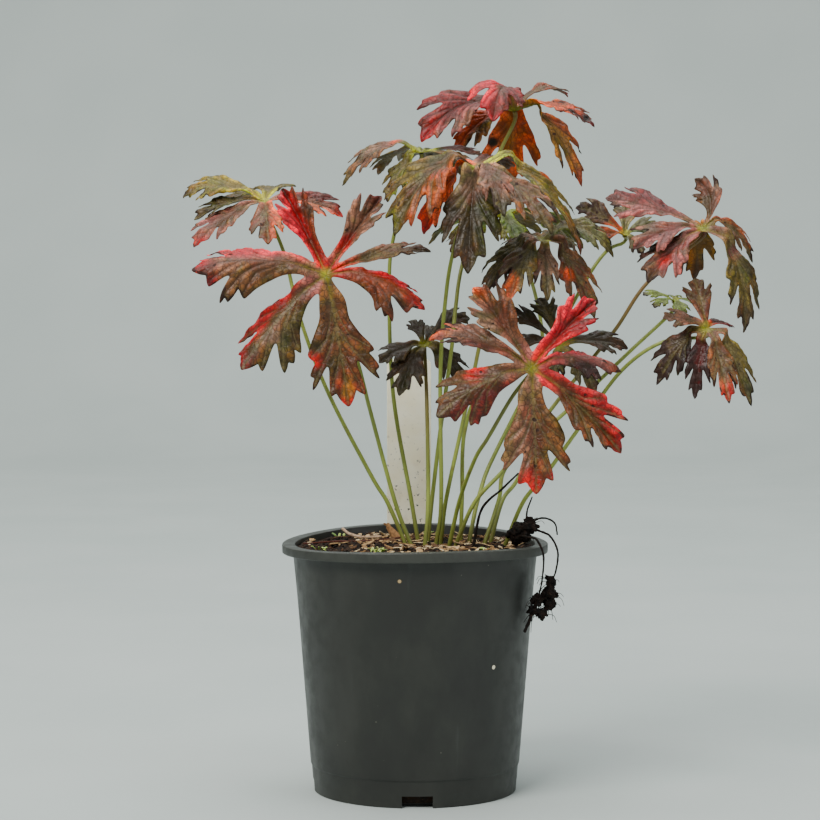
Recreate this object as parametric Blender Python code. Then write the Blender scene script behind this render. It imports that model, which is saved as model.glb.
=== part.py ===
# Hardy geranium in its round nursery pot, with its soil, label, leaf stalks and lobed blades.
# Every table and driving dimension below is in millimetres. The mesh builder scales to metres.
# The origin is the middle of the pot's flat base, +Z is up, and the front of the plant faces -Y.
import math
import random
from collections import namedtuple

import bmesh
import bpy
from mathutils import Matrix, Vector, geometry, noise

MM = 0.001
GAP = 0.3

POT_HEIGHT = 127.0
POT_FOOT_RADIUS = 51.25
POT_WALL_TOP_RADIUS = 61.0
POT_WALL = 1.4
POT_FLOOR = 2.0
POT_SEGMENTS = 44
RIM_RADIUS = 66.0
RIM_THICKNESS = 1.3
RIM_LIP_DEPTH = 5.4
RIM_SQUEEZE = 0.006
RIM_DIP = 1.2
RIM_DIP_BEARING = -115.0
RIM_SAG = 3.2
RIM_SOFT_FROM = 90.0
LEDGE_HEIGHT = 13.0
LEDGE_STEP = 0.5
FOOT_BEVEL = 2.0
DRAIN_WIDTH = 15.0
DRAIN_HEIGHT = 6.0
DRAIN_DEPTH = 8.0
DRAIN_COUNT = 4
DRAIN_BEARING = -88.8

SOIL_TOP = 121.6
SOIL_MOUND = 1.6
SOIL_GRAIN = 1.6
SOIL_GRAIN_SCALE = 0.09
SOIL_SEGMENTS = 36
SOIL_RINGS = 6
STEM_DEPTH = 10.0
STEM_GAP = 0.35
HOLE_SIDES = 8

LABEL_CENTRE_X = -3.0
LABEL_Y = 62.2
LABEL_WIDTH = 23.0
LABEL_THICKNESS = 0.8
LABEL_TOP = 213.0
LABEL_POINT = 78.0
LABEL_CORNER = 3.0

STALK_FOOT_RADIUS = 1.3
STALK_TOP_RADIUS = 0.95
STALK_SIDES = 6
STALK_RINGS = 12
STALK_NECK = 5.0

BLADE_THICKNESS = 0.7
SINUS = 0.17
NOTCH = 0.06
CURL = 1.15
PLEAT = 0.10
RIBBON_STEPS = 24
TWIST_START = 3
TWIST_STEPS = 13
# A leaf's fullness fades out between these shares of a lobe's length, and no margin point goes
# past this share of the lobe's sector.
WAIST = (0.3, 0.75)
SECTOR_SHARE = 0.9
RIB_STOPS = (0.2, 0.36, 0.52, 0.68, 0.84)
# One margin of a lobe as (along, across) shares of its length: two side lobes and a tooth.
MARGIN = (
    (0.31, 0.080), (0.45, 0.140), (0.60, 0.235), (0.635, 0.190),
    (0.83, 0.235), (0.675, 0.095), (0.91, 0.125), (0.885, 0.072),
)

# A lobe is its tip's offset from the hub and the rise of its arch, with an optional width, a way
# that its outer half faces, and a fold along its rib: above zero a trough, below zero a roof.
Lobe = namedtuple("Lobe", "dx dy dz arch width face fold", defaults=(1.0, None, 0.28))
# A leaf's fullness widens the waists of its lobes.
Leaf = namedtuple("Leaf", "hub normal lobes stalk colour full", defaults=(1.0,))

OLIVE = (0.055, 0.060, 0.018)
BRONZE = (0.075, 0.030, 0.018)
CRIMSON = (0.140, 0.016, 0.020)
PLUM = (0.050, 0.022, 0.022)
FRESH = (0.200, 0.260, 0.060)
STALK_GREEN = (0.150, 0.190, 0.035)

LEAVES = {
    "left_front": Leaf(
        (-43, -35, 258), (-0.05, -0.90, 0.42),
        (
            Lobe(-22, 12, 42, 2, 0.95, None, 0.9), Lobe(27, 12, 38, 2, 0.95, None, 0.9),
            Lobe(51, 5, 11, 5, 0.75, (0, -0.35, 1), 0.4),
            Lobe(48, -8, -17, 9, 1.0, (0, -0.7, 0.7), -0.45), Lobe(11, -5, -64, 4, 1.12),
            Lobe(-41, -8, -46, 6, 1.1, (-0.2, -0.8, 0.5), -0.35),
            Lobe(-65, -5, 2, 8, 1.1, (0, -0.75, 0.65), -0.35),
        ),
        ((-2, -6, 123), (-10, -6, 145), (-22, -12, 190), (-28, -16, 214), (-37, -22, 243)),
        BRONZE, 1.1,
    ),
    "left_back": Leaf(
        (-76, 25, 294), (-0.1, -0.4, 0.91),
        (
            Lobe(-42, 5, 2, 10, 1.1), Lobe(-35, -9, -10, 6, 0.78, None, 0.5),
            Lobe(-34, -26, -23, 6, 0.93), Lobe(3, -25, -22, 6, 1.1),
            Lobe(40, -5, -8, 6, 0.95, (0.1, -0.6, 0.8), 0.5), Lobe(5, 40, 6, 6, 1.1),
            Lobe(-25, 35, 0, 6, 0.95),
        ),
        ((-5, 2, 123), (-14, 4, 144), (-22, 6, 157), (-44, 12, 199), (-58, 17, 236),
         (-66, 22, 268)),
        OLIVE, 1.3,
    ),
    "upper_left": Leaf(
        (3, 5, 318), (0.0, -0.3, 0.95),
        (
            Lobe(-39, -3, -17, 15), Lobe(-17, -12, -25, 8), Lobe(32, 0, -2, 4, 0.85),
            Lobe(27, -13, -8, 4, 0.85), Lobe(-22, 35, -10, 8), Lobe(4, 40, -6, 6, 0.9),
            Lobe(22, 34, -12, 6),
        ),
        ((1.5, 6.5, 123), (-2, 9, 145), (-11, 18, 197), (-13, 21, 250), (-11, 18, 275),
         (-3, 10, 300)),
        OLIVE,
    ),
    "centre": Leaf(
        (30, -35, 309), (-0.05, -0.42, 0.90),
        (
            Lobe(-5, -21, -51, 17, 1.15), Lobe(12, -33, -24, 12, 0.76),
            Lobe(35, -30, -32, 10, 0.74), Lobe(51, -1, -42, 24, 0.84, (0.7, -0.3, 0.6)),
            Lobe(-40, -8, -33, 22, 1.15, (-0.4, -0.7, 0.5)),
            Lobe(-26, 16, -32, 14, 1.1, (-0.4, -0.8, 0.3)), Lobe(16, 35, 0, 8, 1.1),
        ),
        ((10.5, -3.5, 123), (13, -5, 145), (12.5, -8, 207), (15, -8, 245), (19, -9, 270),
         (27, -20, 297)),
        PLUM, 1.18,
    ),
    "top": Leaf(
        (50, 15, 339), (0.0, -0.3, 0.95),
        (
            Lobe(-12, -33, -7, 20, 1.25), Lobe(-47, -8, -16, 16, 1.1, (-0.1, -0.8, 0.6)),
            Lobe(-30, 3, -20, 9, 1.1, (-0.4, -0.8, 0.4)), Lobe(-2, 24, -38, 15, 1.4),
            Lobe(34, 7, -38, 18, 0.8, (0.5, -0.6, 0.5)), Lobe(39, -13, -9, 10, 0.7),
            Lobe(28, 24, 8, 11, 0.7),
        ),
        ((6.5, 3, 123), (8.5, 3, 145), (12.5, 0, 179), (18, -5, 220), (20, -2, 240),
         (24, 9, 264), (37, 17, 306), (44, 18, 322)),
        CRIMSON, 1.22,
    ),
    "mid_right": Leaf(
        (62, -22, 275), (0.1, -0.5, 0.85),
        (
            Lobe(25, -12, -39, 12, 0.97), Lobe(2, -20, -30, 9, 0.78), Lobe(-17, -22, -30, 9, 0.97),
            Lobe(36, 8, -9, 14, 1.05), Lobe(-28, -6, -28, 12), Lobe(-16, 28, -6, 6, 1.1),
            Lobe(14, 33, -5, 6, 1.1),
        ),
        ((13, 4.5, 123), (15.5, 1, 145), (23, -4, 181), (29, -8, 209), (35, -11, 232),
         (50, -15, 256)),
        PLUM, 1.1,
    ),
    "front": Leaf(
        (55, -70, 214), (0.0, -0.92, 0.36),
        (
            Lobe(-28, 10, 38, 3, 1.1, None, 0.7), Lobe(-49, 8, 13, 9, 0.85, (0, -0.5, 0.9), 0.4),
            Lobe(-45, -5, -23, 7, 1.15, None, -0.25), Lobe(2, -8, -59, 5, 1.15),
            Lobe(42, -5, -40, 5, 1.0, None, 0.7), Lobe(43, 8, -2, 9, 0.85, (0, -0.6, 0.8), -0.4),
            Lobe(31, 12, 32, 3, 1.0, None, 0.8),
        ),
        ((17, -7, 123), (22, -18, 147), (29, -40, 169), (35, -50, 180), (46, -60, 200)),
        CRIMSON, 1.2,
    ),
    "low_left": Leaf(
        (5, 12, 222), (0.0, -0.6, 0.8),
        (
            Lobe(-23, -8, -9, 4, 1.15), Lobe(-13, -16, -25, 6, 1.25), Lobe(19, -9, -19, 6, 1.25),
            Lobe(23, 8, 13, 6, 1.2), Lobe(-7, 10, 12, 3, 1.2), Lobe(8, 24, 8, 3, 1.2),
        ),
        ((5, -7.5, 123), (6.5, -5, 145), (6, 4, 190)),
        OLIVE, 1.3,
    ),
    "low_right": Leaf(
        (70, -20, 223), (0.0, -0.6, 0.8),
        (
            Lobe(-22, 2, 0, 4, 1.1), Lobe(-25, 8, 17, 4, 0.8), Lobe(-9, 15, 23, 5),
            Lobe(12, 20, 10, 4, 1.1), Lobe(35, 5, -2, 5, 1.1), Lobe(18, -8, -23, 5, 1.1),
            Lobe(-2, -6, -20, 4, 1.1),
        ),
        ((23, 6, 123), (23.6, 6, 145), (25, 4, 180), (36, 0, 203)),
        OLIVE,
    ),
    "right_high": Leaf(
        (141, -15, 280), (0.0, -0.55, 0.83),
        (
            Lobe(-35, -15, -10, 6, 1.18), Lobe(-29, -24, -26, 6, 1.18), Lobe(-2, 18, -26, 13, 1.2),
            Lobe(-47, 12, 15, 4, 1.1, (0, -0.6, 0.8)), Lobe(-3, 12, 25, (8, 0, 2), 1.1),
            Lobe(26, 7, -17, 14, 0.9, (0.6, -0.5, 0.6)),
            Lobe(19, -12, -51, (8, 0, 14), 0.84, (0.6, -0.6, 0.4)),
        ),
        ((20.5, -3, 123), (30, -5, 145), (46, -6, 163), (73, -6, 198), (98, -7, 229),
         (115, -8, 254)),
        BRONZE,
    ),
    "right_inner": Leaf(
        (106, 25, 277), (0.0, -0.75, 0.66),
        (
            Lobe(16, -3, 5, 3, 1.3), Lobe(-25, 3, 14, 4, 1.2), Lobe(-17, -5, -2, 3, 1.2),
            Lobe(9, -8, -10, 3, 1.2), Lobe(4, 22, 16, 4, 1.2),
        ),
        ((27, 1, 123), (32.5, 6, 148), (43, 12, 173), (89, 22, 259)),
        OLIVE, 1.3,
    ),
    "right_low": Leaf(
        (141, -38, 232), (0.0, -0.6, 0.8),
        (
            Lobe(-5, 12, 24, 2, 1.2), Lobe(-22, -5, 5, 3, 1.25),
            Lobe(-24, 0, -28, 9, 1.0, (-0.4, -0.8, 0.4)), Lobe(-7, -12, -34, 8, 0.76),
            Lobe(9, -17, -36, 8, 0.7), Lobe(21, -5, -38, 12, 0.8), Lobe(13, 18, 0, 4, 1.15),
        ),
        ((45, -2, 123), (54, -5, 145), (65, -9, 159), (82, -16, 184), (101, -24, 211),
         (120, -30, 225)),
        PLUM, 1.3,
    ),
    "pale_small": Leaf(
        (130, 15, 244), (0.0, -0.35, 0.94),
        (
            Lobe(-16, -3, 3, 3, 1.2), Lobe(-11, -12, -3, 3, 1.2), Lobe(4, -14, -7, 3, 1.2),
            Lobe(14, 1, -3, 3, 1.2), Lobe(2, 15, 1, 3, 1.2),
        ),
        ((35, -1, 123), (42, 3, 145), (47, 6, 163), (78, 8, 191), (109, 12, 220)),
        FRESH, 0.9,
    ),
    "back": Leaf(
        (45, 65, 286), (0.0, 0.25, 0.96),
        (
            Lobe(-38, -4, -14, 11), Lobe(-27, -28, -18, 10, 0.9), Lobe(8, -28, -20, 10, 0.9),
            Lobe(40, -14, -20, 12), Lobe(44, 16, -16, 12), Lobe(14, 42, -18, 12),
            Lobe(-24, 38, -16, 12),
        ),
        ((38, 7, 123), (44, 10, 144), (51, 15, 153), (58, 25, 168), (66, 42, 215),
         (60, 57, 255)),
        FRESH, 1.3,
    ),
}

DEAD_STEM = ((29, -13, 123), (33, -13, 142), (43, -14, 152), (51, -16, 160))
DEAD_STEM_RADIUS = 0.8

CHIP_COUNT = 18
CHIP_CLEAR = 6.0
CHIP_FIELD = ((-34, -30), (52, 46))

# The dark root clump as balls (x, y, z, radius), and the roots as routes with a radius.
ROOT_LUMPS = (
    (51, -13, 129.3, 5.6), (56.5, -14, 133.6, 4.4), (67, -20, 107, 3.0), (66.5, -21, 101, 4.0),
    (66, -21, 96, 3.4), (60, -24.5, 98, 3.3), (58, -26, 93, 2.8), (62, -24.5, 91, 3.0),
)
ROOT_ROUTES = (
    (((56, -14, 133), (62, -14, 131), (67, -15, 128.4), (70.5, -16, 121), (69.5, -18, 112),
      (67, -20, 106)), 0.6),
    (((51, -14, 129), (56, -27, 129.4), (59.5, -33, 128.6), (62.5, -34.5, 121), (62, -30, 108),
      (60, -24.5, 98)), 0.6),
    (((56, -14, 135), (63, -13, 137.5), (69, -12, 135), (70.5, -12, 129)), 0.55),
    (((55, -13.5, 134), (55.5, -12, 141), (58, -12, 148)), 0.5),
    (((66, -21, 100), (60, -24.5, 98)), 1.2),
    (((66, -21, 95), (62, -24.5, 91)), 1.2),
    (((60, -24.5, 98), (58, -26, 93), (56, -27.5, 88), (53.5, -29.5, 83)), 1.1),
)


def smoothstep(low, high, value):
    t = min(1.0, max(0.0, (value - low) / (high - low)))
    return t * t * (3 - 2 * t)


def clear_scene():
    for item in list(bpy.data.objects):
        bpy.data.objects.remove(item, do_unlink=True)


def material(name, colour, roughness, metallic=0.0):
    mat = bpy.data.materials.get(name) or bpy.data.materials.new(name)
    mat.use_nodes = True
    shader = mat.node_tree.nodes["Principled BSDF"]
    shader.inputs["Base Color"].default_value = (*colour, 1.0)
    shader.inputs["Roughness"].default_value = roughness
    shader.inputs["Metallic"].default_value = metallic
    return mat


def solid(name, points, faces, mat):
    """Make a named object from points in millimetres, with its faces pointing out."""
    mesh = bpy.data.meshes.new(name)
    mesh.from_pydata([Vector(p) * MM for p in points], [], faces)
    work = bmesh.new()
    work.from_mesh(mesh)
    bmesh.ops.recalc_face_normals(work, faces=work.faces)
    work.to_mesh(mesh)
    work.free()
    item = bpy.data.objects.new(name, mesh)
    bpy.context.collection.objects.link(item)
    if mat:
        mesh.materials.append(mat)
    return item


def smooth(item, degrees=35):
    item.data.shade_smooth()
    item.data.set_sharp_from_angle(angle=math.radians(degrees))


def combine(target, others, operation, solver="EXACT"):
    """Join the other objects to the target, or cut them from it, and remove them."""
    group = bpy.data.collections.new("tools")
    bpy.context.scene.collection.children.link(group)
    for item in others:
        bpy.context.collection.objects.unlink(item)
        group.objects.link(item)
    step = target.modifiers.new(operation, "BOOLEAN")
    step.operation = operation
    step.solver = solver
    step.operand_type = "COLLECTION"
    step.collection = group
    with bpy.context.temp_override(object=target):
        bpy.ops.object.modifier_apply(modifier=step.name)
    for item in others:
        bpy.data.objects.remove(item, do_unlink=True)
    bpy.data.collections.remove(group)


def turned(name, profile, segments, mat, shift=None):
    """Turn a profile of (radius, height) points, which starts and ends on the axis."""
    points = [Vector((0, 0, profile[0][1]))]
    for radius, height in profile[1:-1]:
        for k in range(segments):
            angle = 2 * math.pi * k / segments
            points.append(Vector((radius * math.cos(angle), radius * math.sin(angle), height)))
    points.append(Vector((0, 0, profile[-1][1])))
    if shift:
        points = [shift(p) for p in points]
    rings = len(profile) - 2
    faces = []
    for k in range(segments):
        after = (k + 1) % segments
        faces.append((0, 1 + k, 1 + after))
        for ring in range(rings - 1):
            low = 1 + ring * segments
            faces.append((low + k, low + segments + k, low + segments + after, low + after))
        last = 1 + (rings - 1) * segments
        faces.append((len(points) - 1, last + after, last + k))
    return solid(name, points, faces, mat)


def box(low, high):
    corners = [(x, y, z) for x in (low[0], high[0]) for y in (low[1], high[1])
               for z in (low[2], high[2])]
    faces = ((0, 1, 3, 2), (4, 6, 7, 5), (0, 4, 5, 1), (2, 3, 7, 6), (0, 2, 6, 4), (1, 5, 7, 3))
    return solid("box", corners, faces, None)


def route_points(points, count):
    """Even samples along a Catmull-Rom curve through the given points."""
    pts = [Vector(p) for p in points]
    pts = [2 * pts[0] - pts[1]] + pts + [2 * pts[-1] - pts[-2]]
    fine = []
    for k in range(1, len(pts) - 2):
        p0, p1, p2, p3 = pts[k - 1:k + 3]
        for step in range(12):
            t = step / 12
            fine.append(0.5 * (2 * p1 + (p2 - p0) * t + (2 * p0 - 5 * p1 + 4 * p2 - p3) * t ** 2
                               + (3 * p1 - p0 - 3 * p2 + p3) * t ** 3))
    fine.append(pts[-2])
    lengths = [0.0]
    for a, b in zip(fine, fine[1:]):
        lengths.append(lengths[-1] + (b - a).length)
    samples = []
    k = 0
    for step in range(count):
        want = lengths[-1] * step / (count - 1)
        while k < len(fine) - 2 and lengths[k + 1] < want:
            k += 1
        share = (want - lengths[k]) / max(lengths[k + 1] - lengths[k], 1e-9)
        samples.append(fine[k].lerp(fine[k + 1], min(share, 1.0)))
    return samples


def tube(name, path, radii, sides, mat, end_axis=None):
    """A closed tube along a path, with a radius for each of its points and flat ends."""
    points = []
    faces = []
    side = Vector((1, 0, 0))
    for k, centre in enumerate(path):
        tangent = (path[min(k + 1, len(path) - 1)] - path[max(k - 1, 0)]).normalized()
        if k == 0:
            tangent = (path[1] - path[0]).normalized()
        if end_axis and k == len(path) - 1:
            tangent = Vector(end_axis).normalized()
        side = (side - tangent * side.dot(tangent)).normalized()
        other = tangent.cross(side)
        for s in range(sides):
            angle = 2 * math.pi * s / sides
            points.append(centre + radii[k] * (side * math.cos(angle) + other * math.sin(angle)))
        if k:
            low = (k - 1) * sides
            for s in range(sides):
                after = (s + 1) % sides
                faces.append((low + s, low + after, low + sides + after, low + sides + s))
    faces.append(tuple(range(sides - 1, -1, -1)))
    faces.append(tuple(range(len(points) - sides, len(points))))
    return solid(name, points, faces, mat)


def wall_radius(height):
    return POT_FOOT_RADIUS + (POT_WALL_TOP_RADIUS - POT_FOOT_RADIUS) * height / POT_HEIGHT


def rim_wave(point):
    """The soft rim is a little out of round. It sags at both sides, and its front left dips."""
    rise = max(0.0, (point.z - RIM_SOFT_FROM) / (POT_HEIGHT - RIM_SOFT_FROM))
    angle = math.atan2(point.y, point.x)
    squeeze = 1 + RIM_SQUEEZE * rise * math.cos(2 * angle)
    dip = -RIM_DIP * rise ** 3 * max(0.0, math.cos(angle - math.radians(RIM_DIP_BEARING))) ** 2
    sag = -RIM_SAG * rise ** 3 * math.cos(angle) ** 2
    return Vector((point.x * squeeze, point.y * (2 - squeeze), point.z + dip + sag))


def pot():
    inner_top = POT_WALL_TOP_RADIUS - POT_WALL
    lip_inner = RIM_RADIUS - RIM_THICKNESS
    under = POT_HEIGHT - RIM_THICKNESS
    floor_radius = wall_radius(POT_FLOOR) - POT_WALL
    profile = (
        (0, POT_FLOOR), (floor_radius - 1, POT_FLOOR), (floor_radius, POT_FLOOR + 1),
        (inner_top, POT_HEIGHT - 0.4), (inner_top + 0.4, POT_HEIGHT),
        (RIM_RADIUS - 0.4, POT_HEIGHT), (RIM_RADIUS, POT_HEIGHT - 0.4),
        (RIM_RADIUS, POT_HEIGHT - RIM_LIP_DEPTH), (lip_inner, POT_HEIGHT - RIM_LIP_DEPTH),
        (lip_inner, under), (POT_WALL_TOP_RADIUS, under),
        (wall_radius(LEDGE_HEIGHT + 1), LEDGE_HEIGHT + 1),
        (wall_radius(LEDGE_HEIGHT) - LEDGE_STEP, LEDGE_HEIGHT),
        (POT_FOOT_RADIUS - LEDGE_STEP, FOOT_BEVEL), (POT_FOOT_RADIUS - FOOT_BEVEL, 0), (0, 0),
    )
    mat = material("pot_plastic", (0.028, 0.032, 0.031), 0.5)
    item = turned("pot", profile, POT_SEGMENTS, mat, rim_wave)
    cutters = []
    for turn in range(DRAIN_COUNT):
        cutter = box((POT_FOOT_RADIUS - DRAIN_DEPTH, -DRAIN_WIDTH / 2, -1),
                     (POT_FOOT_RADIUS + 2, DRAIN_WIDTH / 2, DRAIN_HEIGHT))
        bearing = math.radians(DRAIN_BEARING + turn * 360 / DRAIN_COUNT)
        cutter.data.transform(Matrix.Rotation(bearing, 4, "Z"))
        cutters.append(cutter)
    half = LABEL_WIDTH / 2 + GAP
    depth = LABEL_THICKNESS / 2 + GAP
    cutters.append(box((LABEL_CENTRE_X - half, LABEL_Y - depth, POT_HEIGHT - 3),
                       (LABEL_CENTRE_X + half, LABEL_Y + depth, POT_HEIGHT + 2)))
    combine(item, cutters, "DIFFERENCE")
    smooth(item)


def soil_height(x, y):
    radius = math.hypot(x, y)
    grain = noise.noise(Vector((x, y, 3.0)) * SOIL_GRAIN_SCALE) * SOIL_GRAIN
    return SOIL_TOP + SOIL_MOUND * (1 - (radius / POT_WALL_TOP_RADIUS) ** 2) + grain


def chip(rng, feet):
    """A flat splinter of bark or straw, sunk in the surface of the soil, clear of the stems."""
    length = rng.uniform(6, 15)
    width = rng.uniform(1.8, 3.6)
    thick = rng.uniform(0.9, 1.3)
    taper = rng.uniform(0.3, 0.8)
    (x0, y0), (x1, y1) = CHIP_FIELD
    x, y = feet[0][0][:2]
    while min(math.hypot(x - foot[0], y - foot[1]) for foot, _ in feet) < CHIP_CLEAR:
        x = rng.uniform(x0, x1)
        y = rng.uniform(y0, y1)
    points = []
    for end in (-1, 1):
        reach = width / 2 * (1 if end < 0 else taper)
        points += [(end * length / 2, -reach, 0), (end * length / 2, reach, 0),
                   (end * length / 2, reach, thick), (end * length / 2, -reach, thick)]
    faces = ((0, 1, 2, 3), (7, 6, 5, 4), (0, 4, 5, 1), (1, 5, 6, 2), (2, 6, 7, 3), (3, 7, 4, 0))
    item = solid("chip", points, faces, None)
    turn = Matrix.Rotation(rng.uniform(0, math.pi), 4, "Z")
    tilt = Matrix.Rotation(math.radians(rng.uniform(-16, 16)), 4, "Y")
    roll = Matrix.Rotation(math.radians(rng.uniform(-20, 20)), 4, "X")
    place = Matrix.Translation(Vector((x, y, soil_height(x, y) - 0.2)) * MM)
    item.data.transform(place @ turn @ tilt @ roll)
    return item


def soil(feet):
    bottom = POT_FLOOR + GAP
    low_radius = wall_radius(POT_FLOOR) - POT_WALL - 1 - GAP
    edge = wall_radius(SOIL_TOP) - POT_WALL - GAP - 0.5
    profile = [(0, SOIL_TOP)]
    profile += [(edge * (k + 1) / SOIL_RINGS, SOIL_TOP) for k in range(SOIL_RINGS)]
    profile += [(low_radius, bottom), (0, bottom)]

    def roughen(point):
        if point.z > POT_FLOOR + 1:
            return Vector((point.x, point.y, soil_height(point.x, point.y)))
        return point

    mat = material("soil_mix", (0.035, 0.022, 0.014), 0.95)
    item = turned("soil", profile, SOIL_SEGMENTS, mat, roughen)
    rng = random.Random(7)
    combine(item, [chip(rng, feet) for _ in range(CHIP_COUNT)], "UNION", "MANIFOLD")
    holes = []
    for foot, radius in feet:
        hole_radius = (radius + STEM_GAP) / math.cos(math.pi / HOLE_SIDES)
        path = [Vector((foot[0], foot[1], SOIL_TOP - STEM_DEPTH)),
                Vector((foot[0], foot[1], SOIL_TOP + 12))]
        holes.append(tube("hole", path, (hole_radius, hole_radius), HOLE_SIDES, None))
    combine(item, holes, "DIFFERENCE", "MANIFOLD")


def label():
    left = LABEL_CENTRE_X - LABEL_WIDTH / 2
    right = LABEL_CENTRE_X + LABEL_WIDTH / 2
    outline = []
    for centre_x, start in ((right - LABEL_CORNER, 0), (left + LABEL_CORNER, 90)):
        for k in range(4):
            angle = math.radians(start + 30 * k)
            outline.append((centre_x + LABEL_CORNER * math.cos(angle),
                            LABEL_TOP - LABEL_CORNER + LABEL_CORNER * math.sin(angle)))
    outline += [(left, LABEL_POINT + 16), (LABEL_CENTRE_X - 1.5, LABEL_POINT),
                (LABEL_CENTRE_X + 1.5, LABEL_POINT), (right, LABEL_POINT + 16)]
    count = len(outline)
    points = [(x, LABEL_Y + side * LABEL_THICKNESS / 2, z) for side in (-1, 1) for x, z in outline]
    faces = [tuple(range(count)), tuple(range(2 * count - 1, count - 1, -1))]
    faces += [(k, (k + 1) % count, (k + 1) % count + count, k + count) for k in range(count)]
    solid("label", points, faces, material("label_plastic", (0.62, 0.60, 0.50), 0.45))


def stalk_path(leaf):
    """From the bottom of its soil hole to just under the blade's hub."""
    x, y, _ = leaf.stalk[0]
    normal = Vector(leaf.normal).normalized()
    dips = [-Ribbon(Vector(leaf.hub), normal, lobe).start.dot(normal) for lobe in leaf.lobes]
    steepest = math.tan(math.asin(max(0.0, max(dips))))
    under = BLADE_THICKNESS / 2 + GAP + STALK_TOP_RADIUS * min(steepest, 1.2)
    top = Vector(leaf.hub) - normal * under
    neck = Vector(leaf.hub) - normal * STALK_NECK
    buried = [Vector((x, y, SOIL_TOP - STEM_DEPTH + GAP)), Vector((x, y, soil_height(x, y) + 1))]
    free = route_points([buried[1]] + list(leaf.stalk[1:]) + [neck, top], STALK_RINGS)
    return [buried[0]] + free, normal


def stalk(name, leaf):
    path, normal = stalk_path(leaf)
    last = len(path) - 1
    radii = [STALK_FOOT_RADIUS + (STALK_TOP_RADIUS - STALK_FOOT_RADIUS) * k / last
             for k in range(last + 1)]
    mat = material("stalk_green", STALK_GREEN, 0.5)
    smooth(tube("petiole_" + name, path, radii, STALK_SIDES, mat, normal), 60)


class Ribbon:
    """The curved strip that one lobe lies on, from the hub out along its rib."""

    def __init__(self, hub, normal, lobe):
        tip = Vector((lobe.dx, lobe.dy, lobe.dz))
        lift = Vector(lobe.arch if isinstance(lobe.arch, tuple) else (0, 0, lobe.arch))
        ends = (Vector(), tip * 0.35 + lift, tip * 0.75 + lift, tip)
        self.start = ends[1].normalized()
        self.points = [hub + p for p in geometry.interpolate_bezier(*ends, RIBBON_STEPS + 1)]
        self.length = sum((b - a).length for a, b in zip(self.points, self.points[1:]))
        self.width = lobe.width
        self.lean = math.atan(lobe.fold)
        side = normal.cross(self.start).normalized()
        self.frames = []
        for k, here in enumerate(self.points):
            ahead = self.points[min(k + 1, RIBBON_STEPS)]
            behind = self.points[max(k - 1, 0)]
            tangent = (ahead - behind).normalized()
            side = (side - tangent * side.dot(tangent)).normalized()
            self.frames.append((here, side, tangent.cross(side)))
        if lobe.face:
            self.twist(Vector(lobe.face))

    def twist(self, face):
        """Turn the strip about its rib, so that its outer half faces the given way."""
        end = self.frames[TWIST_START + TWIST_STEPS]
        tangent = end[1].cross(end[2])
        want = (face - tangent * face.dot(tangent)).normalized()
        angle = math.atan2(want.dot(-end[1]), want.dot(end[2]))
        turned_frames = []
        for k, (here, side, up) in enumerate(self.frames):
            share = min(1.0, max(0.0, (k - TWIST_START) / TWIST_STEPS))
            spin = Matrix.Rotation(angle * share * share * (3 - 2 * share), 3, side.cross(up))
            turned_frames.append((here, spin @ side, spin @ up))
        self.frames = turned_frames

    def place(self, along, across):
        stop = min(max(along / self.length, 0.0), 1.0) * RIBBON_STEPS
        k = min(int(stop), RIBBON_STEPS - 1)
        share = stop - k
        centre, side, up = (a.lerp(b, share) for a, b in zip(self.frames[k], self.frames[k + 1]))
        height = math.sin(self.lean) * abs(across) - CURL * across * across / self.length
        return centre + side * across * math.cos(self.lean) + up * height


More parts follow.
